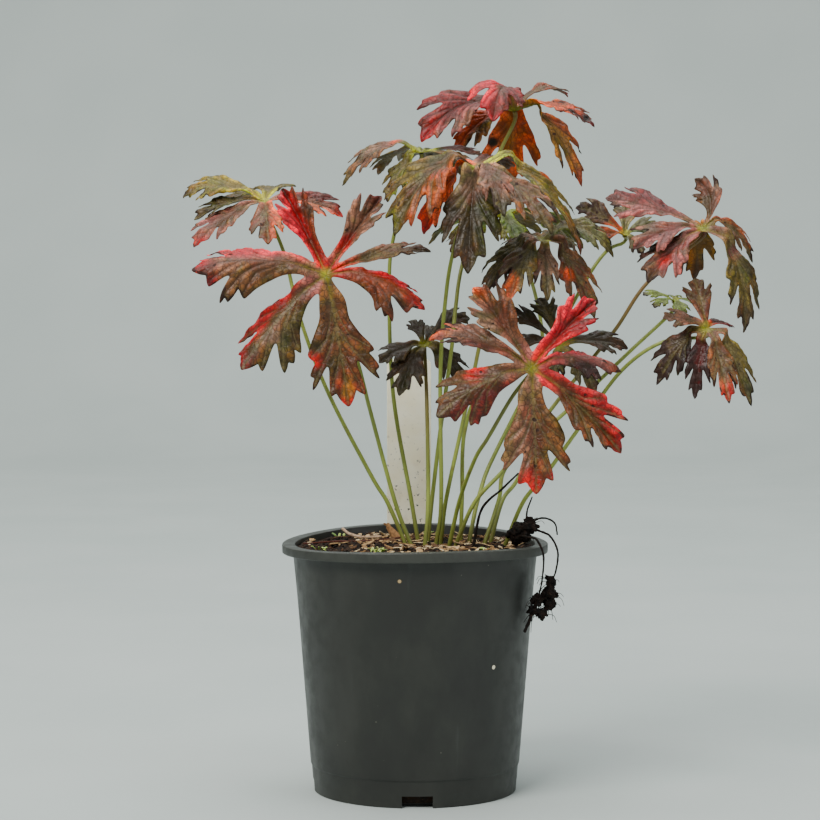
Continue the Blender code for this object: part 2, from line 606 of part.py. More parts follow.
class Blade:
    """A palmate blade: flat polar places are carried onto the lobes' ribbons."""

    def __init__(self, leaf, seed):
        self.rng = random.Random(seed)
        self.full = leaf.full
        self.hub = Vector(leaf.hub)
        self.normal = Vector(leaf.normal).normalized()
        ribbons = [Ribbon(self.hub, self.normal, lobe) for lobe in leaf.lobes]
        self.ribbons = sorted(ribbons, key=lambda r: self.bearing(r.start))
        count = len(ribbons)
        self.half = math.pi / count
        turns = [self.bearing(r.start) for r in self.ribbons]
        spans = [(turns[(k + 1) % count] - turns[k]) % (2 * math.pi) for k in range(count)]
        self.open_at = spans.index(max(spans))

    def bearing(self, direction):
        across = self.normal.cross(Vector((0, 0, 1))).normalized()
        return math.atan2(direction.dot(self.normal.cross(across)), direction.dot(across))

    def sinus(self, k):
        after = (k + 1) % len(self.ribbons)
        share = NOTCH if k == self.open_at else SINUS
        return share * min(self.ribbons[k].length, self.ribbons[after].length)

    def flat(self, k, along, across):
        angle = 2 * self.half * k
        return Vector((along * math.cos(angle) - across * math.sin(angle),
                       along * math.sin(angle) + across * math.cos(angle)))

    def place(self, k, along, across):
        """The place in space of a flat place, given in the frame of lobe k."""
        ribbon = self.ribbons[k]
        reach = math.hypot(along, across)
        if reach < 1e-6:
            return self.hub.copy()
        turn = math.atan2(across, along)
        beside = self.ribbons[(k + (1 if turn > 0 else -1)) % len(self.ribbons)]
        share = min(abs(turn) / (2 * self.half), 0.5)
        fan = ribbon.start.slerp(beside.start, share) if share > 1e-6 else ribbon.start
        web = self.hub + reach * (fan + self.normal * PLEAT * math.sin(math.pi * share))
        near = SINUS * ribbon.length
        blend = min(1.0, max(0.0, (reach / near - 1.0) / 1.3))
        blend = blend * blend * (3 - 2 * blend)
        return web.lerp(ribbon.place(along, across), blend)

    def outline(self):
        """The flat outline and ribs, as places with their lobe, and the edges between them."""
        places = [(0, 0.0, 0.0)]
        loop = []
        ribs = []
        for k, ribbon in enumerate(self.ribbons):
            size = ribbon.length
            before = (k - 1) % len(self.ribbons)
            loop.append(len(places))
            reach = self.sinus(before)
            places.append((k, reach * math.cos(self.half), -reach * math.sin(self.half)))
            for sign in (-1, 1):
                margin = MARGIN if sign < 0 else MARGIN[::-1]
                if sign > 0:
                    loop.append(len(places))
                    tip = len(places)
                    places.append((k, size, 0.0))
                for along, across in margin:
                    outer = smoothstep(*WAIST, along)
                    full = self.full * (1 - outer) + outer
                    along += self.rng.uniform(-0.018, 0.018)
                    across *= full * ribbon.width * self.rng.uniform(0.88, 1.1)
                    across = min(across, SECTOR_SHARE * along * math.tan(self.half))
                    loop.append(len(places))
                    places.append((k, along * size, sign * across * size))
            chain = [0]
            for stop in RIB_STOPS:
                chain.append(len(places))
                places.append((k, stop * size, 0.0))
            ribs += list(zip(chain, chain[1:] + [tip]))
        edges = list(zip(loop, loop[1:] + loop[:1]))
        return places, edges, ribs

    def build(self, name, mat):
        places, edges, ribs = self.outline()
        flat = [self.flat(*place) for place in places]
        found = geometry.delaunay_2d_cdt(flat, edges + ribs, [], 1, 1e-5)
        origin = [item[0] for item in found[3]]
        triangles = [tuple(origin[v] for v in tri) for tri in found[2]]
        centre = [self.place(*place) for place in places]
        normals = [Vector() for _ in places]
        for a, b, c in triangles:
            facing = (centre[b] - centre[a]).cross(centre[c] - centre[a])
            for v in (a, b, c):
                normals[v] += facing
        half = BLADE_THICKNESS / 2
        upper = [p + n.normalized() * half for p, n in zip(centre, normals)]
        lower = [p - n.normalized() * half for p, n in zip(centre, normals)]
        count = len(places)
        faces = list(triangles)
        faces += [(c + count, b + count, a + count) for a, b, c in triangles]
        for a, b in edges:
            faces += [(a, a + count, b), (b, a + count, b + count)]
        return solid(name, upper + lower, faces, mat)


def blade(name, leaf, seed):
    mat = material("leaf_" + name, leaf.colour, 0.45)
    smooth(Blade(leaf, seed).build("blade_" + name, mat), 50)


def root_tangle():
    """The clump on the rim, the thin roots that come out of it and what hangs on them."""
    parts = []
    for k, (x, y, z, radius) in enumerate(ROOT_LUMPS):
        work = bmesh.new()
        bmesh.ops.create_icosphere(work, subdivisions=2 if radius > 4.2 else 1, radius=radius)
        for vert in work.verts:
            bump = noise.noise(vert.co * 0.45 + Vector((k * 7.3, 0, 0)))
            vert.co = vert.co * (1 + 0.35 * bump) + Vector((x, y, z))
            vert.co *= MM
        mesh = bpy.data.meshes.new("lump")
        work.to_mesh(mesh)
        work.free()
        lump = bpy.data.objects.new("lump", mesh)
        bpy.context.collection.objects.link(lump)
        parts.append(lump)
    for points, radius in ROOT_ROUTES:
        count = 3 if len(points) == 2 else 3 * len(points) - 2
        path = route_points(points, count)
        radii = [radius * (1 - 0.3 * k / (count - 1)) for k in range(count)]
        parts.append(tube("root", path, radii, 5, None))
    item = parts.pop(0)
    item.name = "root_tangle"
    item.data.name = "root_tangle"
    item.data.materials.append(material("root_dark", (0.018, 0.012, 0.009), 0.9))
    combine(item, parts, "UNION")


def dead_stem():
    x, y, _ = DEAD_STEM[0]
    path = route_points(((x, y, soil_height(x, y) + 1),) + DEAD_STEM[1:], 8)
    path.insert(0, Vector((x, y, SOIL_TOP - STEM_DEPTH + GAP)))
    radii = [DEAD_STEM_RADIUS] * 8 + [DEAD_STEM_RADIUS * 0.6]
    mat = material("dead_stem_brown", (0.05, 0.03, 0.018), 0.85)
    smooth(tube("dead_stem", path, radii, STALK_SIDES, mat), 60)


def main():
    clear_scene()
    pot()
    feet = [(leaf.stalk[0], STALK_FOOT_RADIUS) for leaf in LEAVES.values()]
    soil(feet + [(DEAD_STEM[0], DEAD_STEM_RADIUS)])
    label()
    root_tangle()
    dead_stem()
    for seed, (name, leaf) in enumerate(LEAVES.items()):
        stalk(name, leaf)
        blade(name, leaf, seed + 11)


main()
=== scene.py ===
# Looks of the potted hardy geranium: fine leaves, stalks, soil, roots, pot and label.
# Tables are in millimetres, as in the construction, and the mesh builders scale to metres.
import math
import random
from collections import namedtuple

import bmesh
import bpy
import numpy as np
from mathutils import Matrix, Vector, geometry, noise


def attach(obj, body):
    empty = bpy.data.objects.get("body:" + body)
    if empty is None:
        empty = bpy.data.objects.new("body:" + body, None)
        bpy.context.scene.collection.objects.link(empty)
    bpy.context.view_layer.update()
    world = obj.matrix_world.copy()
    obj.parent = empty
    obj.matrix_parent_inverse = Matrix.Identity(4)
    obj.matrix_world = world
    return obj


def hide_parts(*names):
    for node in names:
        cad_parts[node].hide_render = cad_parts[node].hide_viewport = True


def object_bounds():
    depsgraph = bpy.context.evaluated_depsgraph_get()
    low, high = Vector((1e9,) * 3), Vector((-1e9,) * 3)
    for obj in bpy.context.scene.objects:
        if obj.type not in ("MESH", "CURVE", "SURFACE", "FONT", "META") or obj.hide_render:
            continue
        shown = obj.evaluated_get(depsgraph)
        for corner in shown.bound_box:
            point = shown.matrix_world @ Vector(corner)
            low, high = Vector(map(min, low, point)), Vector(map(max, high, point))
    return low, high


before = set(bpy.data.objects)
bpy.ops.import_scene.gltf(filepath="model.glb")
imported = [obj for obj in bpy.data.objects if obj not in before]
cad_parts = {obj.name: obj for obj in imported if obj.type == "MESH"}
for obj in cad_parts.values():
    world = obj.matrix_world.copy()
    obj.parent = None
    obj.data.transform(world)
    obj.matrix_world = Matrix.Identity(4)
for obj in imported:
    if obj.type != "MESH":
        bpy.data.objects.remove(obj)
cad_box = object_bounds()

MM = 0.001

POT_HEIGHT = 127.0
POT_FOOT_RADIUS = 51.25
POT_WALL_TOP_RADIUS = 61.0
POT_WALL = 1.4
POT_FLOOR = 2.0
RIM_RADIUS = 66.0
RIM_THICKNESS = 1.3
RIM_LIP_DEPTH = 5.4
RIM_SQUEEZE = 0.006
RIM_DIP = 1.2
RIM_DIP_BEARING = -115.0
RIM_SAG = 3.2
RIM_SOFT_FROM = 90.0
LEDGE_HEIGHT = 13.0
LEDGE_STEP = 0.5
LEDGE_SLOPE = 0.8
CORNER_RADIUS = 0.6
WALL_STEP = 9.0
POT_SEGMENTS = 144
POT_SHARP = 45
DRAIN_WIDTH = 15.0
DRAIN_HEIGHT = 6.0
DRAIN_DEPTH = 8.0
DRAIN_COUNT = 4
DRAIN_BEARING = -88.8
GAP = 0.3

SOIL_TOP = 121.6
SOIL_MOUND = 1.6
SOIL_GRAIN = 1.6
SOIL_GRAIN_SCALE = 0.09
STEM_FOOT = 112.0
SOIL_RINGS = 52
SOIL_SEGMENTS = 168
SOIL_REACH = 56.5
SOIL_SKIRT = 12.0
SOIL_LUMPS = 0.9
CRUMBS = 1500
CHIPS = 330
CHIPS_IN_MIDDLE = 270
STRAWS = 34

LABEL_CENTRE_X = -3.0
LABEL_Y = 62.2
LABEL_WIDTH = 23.0
LABEL_THICKNESS = 0.8
LABEL_TOP = 213.0
LABEL_POINT = 78.0
LABEL_CORNER = 3.0
LABEL_SHOULDER = 16.0
LABEL_TIP = 1.5
LABEL_STEP = 12
LABEL_SIDES_TO = (195, 200)
LABEL_BEVEL = 0.18

STALK_FOOT_RADIUS = 1.08
STALK_TOP_RADIUS = 0.9
STALK_SIDES = 12
STALK_STEPS = 90
STALK_NECK = 5.0
CURVE_STEPS = 12

LEAF_THICKNESS = 0.42
SINUS = 0.17
NOTCH = 0.06
CURL = 1.15
PLEAT = 0.10
RIBBON_STEPS = 24
TWIST_START = 3
TWIST_STEPS = 13
WAIST = (0.3, 0.75)
SECTOR_SHARE = 0.9
HUB_REACH = 1.3
MARGIN_JITTER = 0.018
MARGIN_SPREAD = (0.88, 1.1)
TOOTH_SHARE = (0.40, 0.56)
TOOTH_POINT = (0.010, 0.034)
TOOTH_FOOT = (0.024, 0.002)
# One margin of a lobe as (along, across) shares of its length: waist, belly, side tooth, notch,
# side finger, the finger's inner corner, crown tooth and its inner corner.
MARGIN = (
    (0.31, 0.080), (0.45, 0.140), (0.60, 0.235), (0.635, 0.190),
    (0.83, 0.235), (0.675, 0.095), (0.91, 0.125), (0.885, 0.072),
)

# A lobe is its tip's offset from the hub and the rise of its arch, with an optional width, a way
# that its outer half faces, and a fold along its rib: above zero a trough, below zero a roof.
Lobe = namedtuple("Lobe", "dx dy dz arch width face fold", defaults=(1.0, None, 0.28))
# A leaf's fullness widens the waists of its lobes.
Leaf = namedtuple("Leaf", "hub normal lobes stalk full", defaults=(1.0,))

LEAVES = {
    "left_front": Leaf(
        (-43, -35, 258), (-0.05, -0.90, 0.42),
        (
            Lobe(-22, 12, 42, 2, 0.95, None, 0.9), Lobe(27, 12, 38, 2, 0.95, None, 0.9),
            Lobe(51, 5, 11, 5, 0.75, (0, -0.35, 1), 0.4),
            Lobe(48, -8, -17, 9, 1.0, (0, -0.7, 0.7), -0.45), Lobe(11, -5, -64, 4, 1.12),
            Lobe(-41, -8, -46, 6, 1.1, (-0.2, -0.8, 0.5), -0.35),
            Lobe(-65, -5, 2, 8, 1.1, (0, -0.75, 0.65), -0.35),
        ),
        ((-2, -6, 123), (-10, -6, 145), (-22, -12, 190), (-28, -16, 214), (-37, -22, 243)),
        1.1,
    ),
    "left_back": Leaf(
        (-76, 25, 294), (-0.1, -0.4, 0.91),
        (
            Lobe(-42, 5, 2, 10, 1.1), Lobe(-35, -9, -10, 6, 0.78, None, 0.5),
            Lobe(-34, -26, -23, 6, 0.93), Lobe(3, -25, -22, 6, 1.1),
            Lobe(40, -5, -8, 6, 0.95, (0.1, -0.6, 0.8), 0.5), Lobe(5, 40, 6, 6, 1.1),
            Lobe(-25, 35, 0, 6, 0.95),
        ),
        ((-5, 2, 123), (-14, 4, 144), (-22, 6, 157), (-44, 12, 199), (-58, 17, 236),
         (-66, 22, 268)),
        1.3,
    ),
    "upper_left": Leaf(
        (3, 5, 318), (0.0, -0.3, 0.95),
        (
            Lobe(-39, -3, -17, 15), Lobe(-17, -12, -25, 8), Lobe(32, 0, -2, 4, 0.85),
            Lobe(27, -13, -8, 4, 0.85), Lobe(-22, 35, -10, 8), Lobe(4, 40, -6, 6, 0.9),
            Lobe(22, 34, -12, 6),
        ),
        ((1.5, 6.5, 123), (-2, 9, 145), (-11, 18, 197), (-13, 21, 250), (-11, 18, 275),
         (-3, 10, 300)),
    ),
    "centre": Leaf(
        (30, -35, 309), (-0.05, -0.42, 0.90),
        (
            Lobe(-5, -21, -51, 17, 1.15), Lobe(12, -33, -24, 12, 0.76),
            Lobe(35, -30, -32, 10, 0.74), Lobe(51, -1, -42, 24, 0.84, (0.7, -0.3, 0.6)),
            Lobe(-40, -8, -33, 22, 1.15, (-0.4, -0.7, 0.5)),
            Lobe(-26, 16, -32, 14, 1.1, (-0.4, -0.8, 0.3)), Lobe(16, 35, 0, 8, 1.1),
        ),
        ((10.5, -3.5, 123), (13, -5, 145), (12.5, -8, 207), (15, -8, 245), (19, -9, 270),
         (27, -20, 297)),
        1.18,
    ),
    "top": Leaf(
        (50, 15, 339), (0.0, -0.3, 0.95),
        (
            Lobe(-12, -33, -7, 20, 1.25), Lobe(-47, -8, -16, 16, 1.1, (-0.1, -0.8, 0.6)),
            Lobe(-30, 3, -20, 9, 1.1, (-0.4, -0.8, 0.4)), Lobe(-2, 24, -38, 15, 1.4),
            Lobe(34, 7, -38, 18, 0.8, (0.5, -0.6, 0.5)), Lobe(39, -13, -9, 10, 0.7),
            Lobe(28, 24, 8, 11, 0.7),
        ),
        ((6.5, 3, 123), (8.5, 3, 145), (12.5, 0, 179), (18, -5, 220), (20, -2, 240),
         (24, 9, 264), (37, 17, 306), (44, 18, 322)),
        1.22,
    ),
    "mid_right": Leaf(
        (62, -22, 275), (0.1, -0.5, 0.85),
        (
            Lobe(25, -12, -39, 12, 0.97), Lobe(2, -20, -30, 9, 0.78), Lobe(-17, -22, -30, 9, 0.97),
            Lobe(36, 8, -9, 14, 1.05), Lobe(-28, -6, -28, 12), Lobe(-16, 28, -6, 6, 1.1),
            Lobe(14, 33, -5, 6, 1.1),
        ),
        ((13, 4.5, 123), (15.5, 1, 145), (23, -4, 181), (29, -8, 209), (35, -11, 232),
         (50, -15, 256)),
        1.1,
    ),
    "front": Leaf(
        (55, -70, 214), (0.0, -0.92, 0.36),
        (
            Lobe(-28, 10, 38, 3, 1.1, None, 0.7), Lobe(-49, 8, 13, 9, 0.85, (0, -0.5, 0.9), 0.4),
            Lobe(-45, -5, -23, 7, 1.15, None, -0.25), Lobe(2, -8, -59, 5, 1.15),
            Lobe(42, -5, -40, 5, 1.0, None, 0.7), Lobe(43, 8, -2, 9, 0.85, (0, -0.6, 0.8), -0.4),
            Lobe(31, 12, 32, 3, 1.0, None, 0.8),
        ),
        ((17, -7, 123), (22, -18, 147), (29, -40, 169), (35, -50, 180), (46, -60, 200)),
        1.2,
    ),
    "low_left": Leaf(
        (5, 12, 222), (0.0, -0.6, 0.8),
        (
            Lobe(-23, -8, -9, 4, 1.15), Lobe(-13, -16, -25, 6, 1.25), Lobe(19, -9, -19, 6, 1.25),
            Lobe(23, 8, 13, 6, 1.2), Lobe(-7, 10, 12, 3, 1.2), Lobe(8, 24, 8, 3, 1.2),
        ),
        ((5, -7.5, 123), (6.5, -5, 145), (6, 4, 190)),
        1.3,
    ),
    "low_right": Leaf(
        (70, -20, 223), (0.0, -0.6, 0.8),
        (
            Lobe(-22, 2, 0, 4, 1.1), Lobe(-25, 8, 17, 4, 0.8), Lobe(-9, 15, 23, 5),
            Lobe(12, 20, 10, 4, 1.1), Lobe(35, 5, -2, 5, 1.1), Lobe(18, -8, -23, 5, 1.1),
            Lobe(-2, -6, -20, 4, 1.1),
        ),
        ((23, 6, 123), (23.6, 6, 145), (25, 4, 180), (36, 0, 203)),
    ),
    "right_high": Leaf(
        (141, -15, 280), (0.0, -0.55, 0.83),
        (
            Lobe(-35, -15, -10, 6, 1.18), Lobe(-29, -24, -26, 6, 1.18), Lobe(-2, 18, -26, 13, 1.2),
            Lobe(-47, 12, 15, 4, 1.1, (0, -0.6, 0.8)), Lobe(-3, 12, 25, (8, 0, 2), 1.1),
            Lobe(26, 7, -17, 14, 0.9, (0.6, -0.5, 0.6)),
            Lobe(19, -12, -51, (8, 0, 14), 0.84, (0.6, -0.6, 0.4)),
        ),
        ((20.5, -3, 123), (30, -5, 145), (46, -6, 163), (73, -6, 198), (98, -7, 229),
         (115, -8, 254)),
    ),
    "right_inner": Leaf(
        (106, 25, 277), (0.0, -0.75, 0.66),
        (
            Lobe(16, -3, 5, 3, 1.3), Lobe(-25, 3, 14, 4, 1.2), Lobe(-17, -5, -2, 3, 1.2),
            Lobe(9, -8, -10, 3, 1.2), Lobe(4, 22, 16, 4, 1.2),
        ),
        ((27, 1, 123), (32.5, 6, 148), (43, 12, 173), (89, 22, 259)),
        1.3,
    ),
    "right_low": Leaf(
        (141, -38, 232), (0.0, -0.6, 0.8),
        (
            Lobe(-5, 12, 24, 2, 1.2), Lobe(-22, -5, 5, 3, 1.25),
            Lobe(-24, 0, -28, 9, 1.0, (-0.4, -0.8, 0.4)), Lobe(-7, -12, -34, 8, 0.76),
            Lobe(9, -17, -36, 8, 0.7), Lobe(21, -5, -38, 12, 0.8), Lobe(13, 18, 0, 4, 1.15),
        ),
        ((45, -2, 123), (54, -5, 145), (65, -9, 159), (82, -16, 184), (101, -24, 211),
         (120, -30, 225)),
        1.3,
    ),
    "pale_small": Leaf(
        (130, 15, 244), (0.0, -0.35, 0.94),
        (
            Lobe(-16, -3, 3, 3, 1.2), Lobe(-11, -12, -3, 3, 1.2), Lobe(4, -14, -7, 3, 1.2),
            Lobe(14, 1, -3, 3, 1.2), Lobe(2, 15, 1, 3, 1.2),
        ),
        ((35, -1, 123), (42, 3, 145), (47, 6, 163), (78, 8, 191), (109, 12, 220)),
        0.9,
    ),
    "back": Leaf(
        (45, 65, 286), (0.0, 0.25, 0.96),
        (
            Lobe(-38, -4, -14, 11), Lobe(-27, -28, -18, 10, 0.9), Lobe(8, -28, -20, 10, 0.9),
            Lobe(40, -14, -20, 12), Lobe(44, 16, -16, 12), Lobe(14, 42, -18, 12),
            Lobe(-24, 38, -16, 12),
        ),
        ((38, 7, 123), (44, 10, 144), (51, 15, 153), (58, 25, 168), (66, 42, 215),
         (60, 57, 255)),
        1.3,
    ),
}

# How far the skin of a leaf stands out or in, and how wide its quilted cushions swell. A scorched
# margin ripples more, by up to the last factor.
QUILT_WIDTH = 2.0
QUILT_RELIEF = 0.9
VEIN_RELIEF = 0.55
WAVE_RELIEF = 1.0
RIPPLE_RELIEF = 0.5
BURNT_CRINKLE = 1.6
# How far a leaf's points keep inside the box of the construction.
BOX_CLEARANCE = 0.03

# How closely a leaf's mesh is set with points.
OUTLINE_SPACING = 0.9
LARGE_LEAF_SPACING = 1.2
SMALL_LEAF_SPACING = 0.9
SMALL_LEAF_SIZE = 35.0
VEIN_SPACING = 1.1
VEIN_HALF_BAND = 0.5
STRONG_VEIN = 0.6
FAR_FROM_VEINS = 9.0
EDGE_CLEARANCE = 0.5
POINT_CLEARANCE = 0.42
POINT_CELL = 0.5

# Colours by name. The mauve is partly the leaves' own colour and partly painted sheen; the grey
# mauve is mostly painted sheen, the grey gloss of light on a leaf.
HUES = {
    "olive": "#5e5a24", "dark_olive": "#3c3d17", "bronze": "#634526", "brown": "#5c3820",
    "umber": "#48311d", "plum": "#593130", "mauve": "#7d5b50", "grey_mauve": "#816b61",
    "crimson": "#a8041f", "pink": "#db0a3a", "red": "#c30d0f", "orange": "#d85604",
    "salmon": "#ed6a3f", "rust": "#98491f", "wine": "#630b15", "maroon": "#661e22",
    "rose": "#8a545b", "lime": "#96b20a", "pale": "#c0d020", "ochre": "#8f702b",
    "amber": "#b5760f", "spring": "#82aa30", "burnt": "#160604", "green": "#698628",
    "grey_green": "#5a6644", "black_olive": "#383018", "yellow_olive": "#867f23",
    "rib": "#8f8a26", "pale_vein": "#a3925a", "underside": "#7a6a20", "stalk": "#6c782c",
    "new_stalk": "#93a046", "red_stalk": "#6a3420", "soiled": "#4a4420",
}
# The leaves' paints are made lighter by these factors of red, green and blue.
LIFT = (2.0, 1.55, 1.06)

# A lobe's paint: colours at the hub, of the body and at the tip, with optional colours along the
# two margins, a share of scorched margin, a number of dark spots and patches of another colour.
Paint = namedtuple("Paint", "hub body tip plus minus burn spots patches",
                   defaults=(None, None, 0.15, 0, ()))

# Where a paint uses mauve or grey mauve, it paints sheen of light on the leaf as well as the leaf's
# own colour.
PAINTS = {
    "left_front": (
        Paint("red", "crimson", "wine", "pink", "brown", 0.1),
        Paint("crimson", "mauve", "plum", None, None, 0.15, 1, ((0.33, 0.0, 6, "red"),)),
        Paint("red", "bronze", "umber", "mauve", None, 0.3),
        Paint("pink", "rust", "crimson", "pink", "brown", 0.35, 2),
        Paint("bronze", "bronze", "red", "brown", "umber", 0.1, 3,
              ((0.62, -0.19, 5, "red"), (0.88, 0.0, 4, "amber"))),
        Paint("rose", "bronze", "maroon", "dark_olive", "crimson", 0.15, 3,
              ((0.66, 0.05, 5, "grey_mauve"),)),
        Paint("mauve", "mauve", "crimson", "bronze", "pink", 0.4, 1, ((0.90, 0.1, 8, "wine"),)),
    ),
    "left_back": (
        Paint("pale", "yellow_olive", "olive", None, None, 0.3, 4),
        Paint("olive", "dark_olive", "olive", None, None, 0.3, 1),
        Paint("grey_mauve", "mauve", "red", None, "rose", 0.15, 2, ((0.6, 0.1, 6, "bronze"),)),
        Paint("salmon", "brown", "rust", "salmon", "mauve", 0.2, 2),
        Paint("rose", "mauve", "red", "maroon", "salmon", 0.25, 4),
        Paint("pale", "olive", "bronze"), Paint("pale", "olive", "bronze", None, None, 0.2, 3),
    ),
    "upper_left": (
        Paint("lime", "grey_mauve", "olive", "bronze", None, 0.25, 1, ((0.3, -0.03, 5, "salmon"),)),
        Paint("lime", "olive", "yellow_olive", "green", "olive", 0.25, 6),
        Paint("lime", "plum", "bronze"), Paint("lime", "bronze", "umber", None, None, 0.3, 2),
        Paint("lime", "olive", "bronze"), Paint("lime", "dark_olive", "bronze"),
        Paint("lime", "olive", "brown"),
    ),
    "centre": (
        Paint("lime", "black_olive", "black_olive", "dark_olive", None, 0.2, 4,
              ((0.30, 0.05, 11, "grey_mauve"), (0.42, -0.08, 9, "grey_mauve"))),
        Paint("grey_mauve", "mauve", "dark_olive", None, None, 0.2, 3),
        Paint("grey_mauve", "bronze", "dark_olive", "mauve", None, 0.3, 3),
        Paint("lime", "yellow_olive", "maroon", "olive", "olive", 0.25, 2,
              ((0.55, 0.17, 4, "orange"),)),
        Paint("mauve", "bronze", "olive", "rust", "olive", 0.2, 2),
        Paint("orange", "orange", "red", "salmon", None, 0.25, 8),
        Paint("mauve", "plum", "bronze"),
    ),
    "top": (
        Paint("rose", "rose", "crimson", "maroon", "pink", 0.1, 1),
        Paint("brown", "maroon", "crimson", "rose", "maroon", 0.15, 2),
        Paint("olive", "orange", "salmon", "olive", "orange", 0.3, 2),
        # The hanging lobe below is painted light amber and salmon: partly its own colour, partly
        # painted light where it hangs in the shade of the lobes above.
        Paint("ochre", "amber", "salmon", "salmon", "orange", 0.1, 3,
              ((0.62, 0.16, 3.5, "burnt"),)),
        Paint("lime", "ochre", "rust", "rust", None, 0.2, 4),
        Paint("ochre", "orange", "wine", "rust", "orange", 0.6, 6,
              ((0.5, 0.10, 2.5, "burnt"), (0.68, -0.05, 3, "burnt"), (0.85, 0.05, 4, "burnt"))),
        Paint("rust", "brown", "red", "rust", None, 0.15, 1),
    ),
    "mid_right": (
        Paint("mauve", "brown", "umber", "bronze", None, 0.3, 3, ((0.6, -0.1, 4, "orange"),)),
        Paint("lime", "grey_mauve", "olive", None, "mauve", 0.25, 3),
        Paint("mauve", "dark_olive", "salmon", "olive", "umber", 0.3, 2,
              ((0.8, -0.05, 5, "orange"),)),
        Paint("grey_green", "grey_green", "olive", None, None, 0.25, 1),
        Paint("mauve", "dark_olive", "umber", None, None, 0.35, 2),
        Paint("olive", "brown", "umber"), Paint("olive", "olive", "brown"),
    ),
    "front": (
        Paint("rose", "mauve", "salmon", "grey_mauve", "brown", 0.12, 2),
        Paint("mauve", "mauve", "salmon", "plum", None, 0.4, 2, ((0.85, 0.0, 5, "burnt"),)),
        Paint("mauve", "brown", "umber", "maroon", "bronze", 0.2, 3, ((0.5, -0.10, 4.5, "red"),)),
        Paint("mauve", "brown", "brown", "bronze", "mauve", 0.1, 4,
              ((0.93, -0.05, 9, "red"), (0.86, 0.12, 5, "crimson"))),
        Paint("pink", "brown", "crimson", "crimson", "bronze", 0.3, 2),
        Paint("pink", "rose", "rust", "pink", "burnt", 0.5, 2),
        Paint("red", "crimson", "maroon", "pink", "crimson", 0.1, 1),
    ),
    "low_left": (Paint("olive", "black_olive", "dark_olive", None, None, 0.25, 1),) * 6,
    "low_right": tuple(Paint("olive", body, "umber", None, None, 0.3, 2) for body in
                       ("black_olive", "black_olive", "dark_olive", "dark_olive", "black_olive",
                        "dark_olive", "dark_olive")),
    "right_high": (
        Paint("rose", "rose", "maroon", "rose", "mauve", 0.15, 2),
        Paint("rose", "rose", "bronze", None, "umber", 0.35, 3, ((0.7, 0.02, 5, "red"),)),
        Paint("amber", "ochre", "brown", "amber", None, 0.3, 2),
        Paint("mauve", "rose", "plum", None, "maroon", 0.25, 2),
        Paint("mauve", "mauve", "umber", "bronze", None, 0.3, 1),
        Paint("olive", "bronze", "olive", "rust", None, 0.3, 2),
        Paint("mauve", "olive", "umber", "dark_olive", None, 0.3, 3, ((0.4, 0.0, 4, "rose"),)),
    ),
    "right_inner": (
        Paint("grey_green", "grey_green", "olive", None, None, 0.3, 2),
        Paint("orange", "umber", "burnt", None, None, 0.6, 3),
        Paint("orange", "rust", "brown", None, None, 0.4, 3),
        Paint("grey_green", "grey_green", "umber", None, None, 0.3, 2),
        Paint("grey_green", "olive", "umber", None, None, 0.4, 2),
    ),
    "right_low": (
        Paint("mauve", "brown", "bronze", None, None, 0.15, 1),
        Paint("mauve", "mauve", "bronze", None, None, 0.2, 2),
        Paint("olive", "umber", "burnt", "burnt", "umber", 0.8, 2),
        Paint("olive", "wine", "burnt", "burnt", "burnt", 0.9, 2),
        Paint("mauve", "bronze", "salmon", None, None, 0.25, 3, ((0.93, 0.0, 7, "red"),)),
        Paint("mauve", "olive", "dark_olive", None, "bronze", 0.25, 3),
        Paint("salmon", "wine", "umber", None, None, 0.3, 1),
    ),
    "pale_small": (Paint("spring", "spring", "olive", None, None, 0.2, 1),) * 5,
    "back": tuple(Paint("lime", body, tip, None, None, 0.2, 2) for body, tip in
                  (("green", "olive"), ("olive", "bronze"), ("green", "lime"), ("olive", "brown"),
                   ("green", "olive"), ("olive", "rust"), ("green", "bronze"))),
}

# Body colours whose veins stand out pale instead of dark.
PALE_VEINED = ("olive", "dark_olive", "bronze", "brown", "umber", "yellow_olive", "grey_green")

# How red the stalks of some leaves are towards their tops.
REDDISH = {"right_high": 0.75, "low_left": 0.6, "mid_right": 0.45, "top": 0.3, "front": 0.25}

DEAD_STEM = ((29, -13, 123), (33, -13, 142), (43, -14, 152), (51, -16, 160))
DEAD_STEM_RADIUS = 0.8
DEAD_STEM_STEPS = 40

# Where every stalk stands in the soil, and the colours of the chips and straws that lie on it.
FEET = [leaf.stalk[0] for leaf in LEAVES.values()] + [DEAD_STEM[0]]
TANS = ("#a98a60", "#8a6a44", "#c4a77c", "#5e432a", "#d8c39a", "#4a3220")

# Lumps of soil and root, each a place and a radius, and the thin roots' routes and radii.
ROOT_HAIRS = 60
LUMP_VOXEL = 0.42
ROOT_LUMPS = (
    (51, -13, 129.3, 5.6), (56.5, -14, 133.6, 4.4), (67, -20, 107, 3.0), (66.5, -21, 101, 4.0),
    (66, -21, 96, 3.4), (60, -24.5, 98, 3.3), (58, -26, 93, 2.8), (62, -24.5, 91, 3.0),
)
ROOT_ROUTES = (
    (((56, -14, 133), (62, -14, 131), (67, -15, 128.4), (70.5, -16, 121), (69.5, -18, 112),
      (67, -20, 106)), 0.6),
    (((51, -14, 129), (56, -27, 129.4), (59.5, -33, 128.6), (62.5, -34.5, 121), (62, -30, 108),
      (60, -24.5, 98)), 0.6),
    (((56, -14, 135), (63, -13, 137.5), (69, -12, 135), (70.5, -12, 129)), 0.55),
    (((55, -13.5, 134), (55.5, -12, 141), (58, -12, 148)), 0.5),
    (((66, -21, 100), (60, -24.5, 98)), 1.2),
    (((66, -21, 95), (62, -24.5, 91)), 1.2),
    (((60, -24.5, 98), (58, -26, 93), (56, -27.5, 88), (53.5, -29.5, 83)), 1.1),
)

CAMERA_PLACE = (-2.5, -1337.0, 272.0)
CAMERA_PITCH = -3.5
CAMERA_LENS = 118.0
CAMERA_SENSOR = 36.0


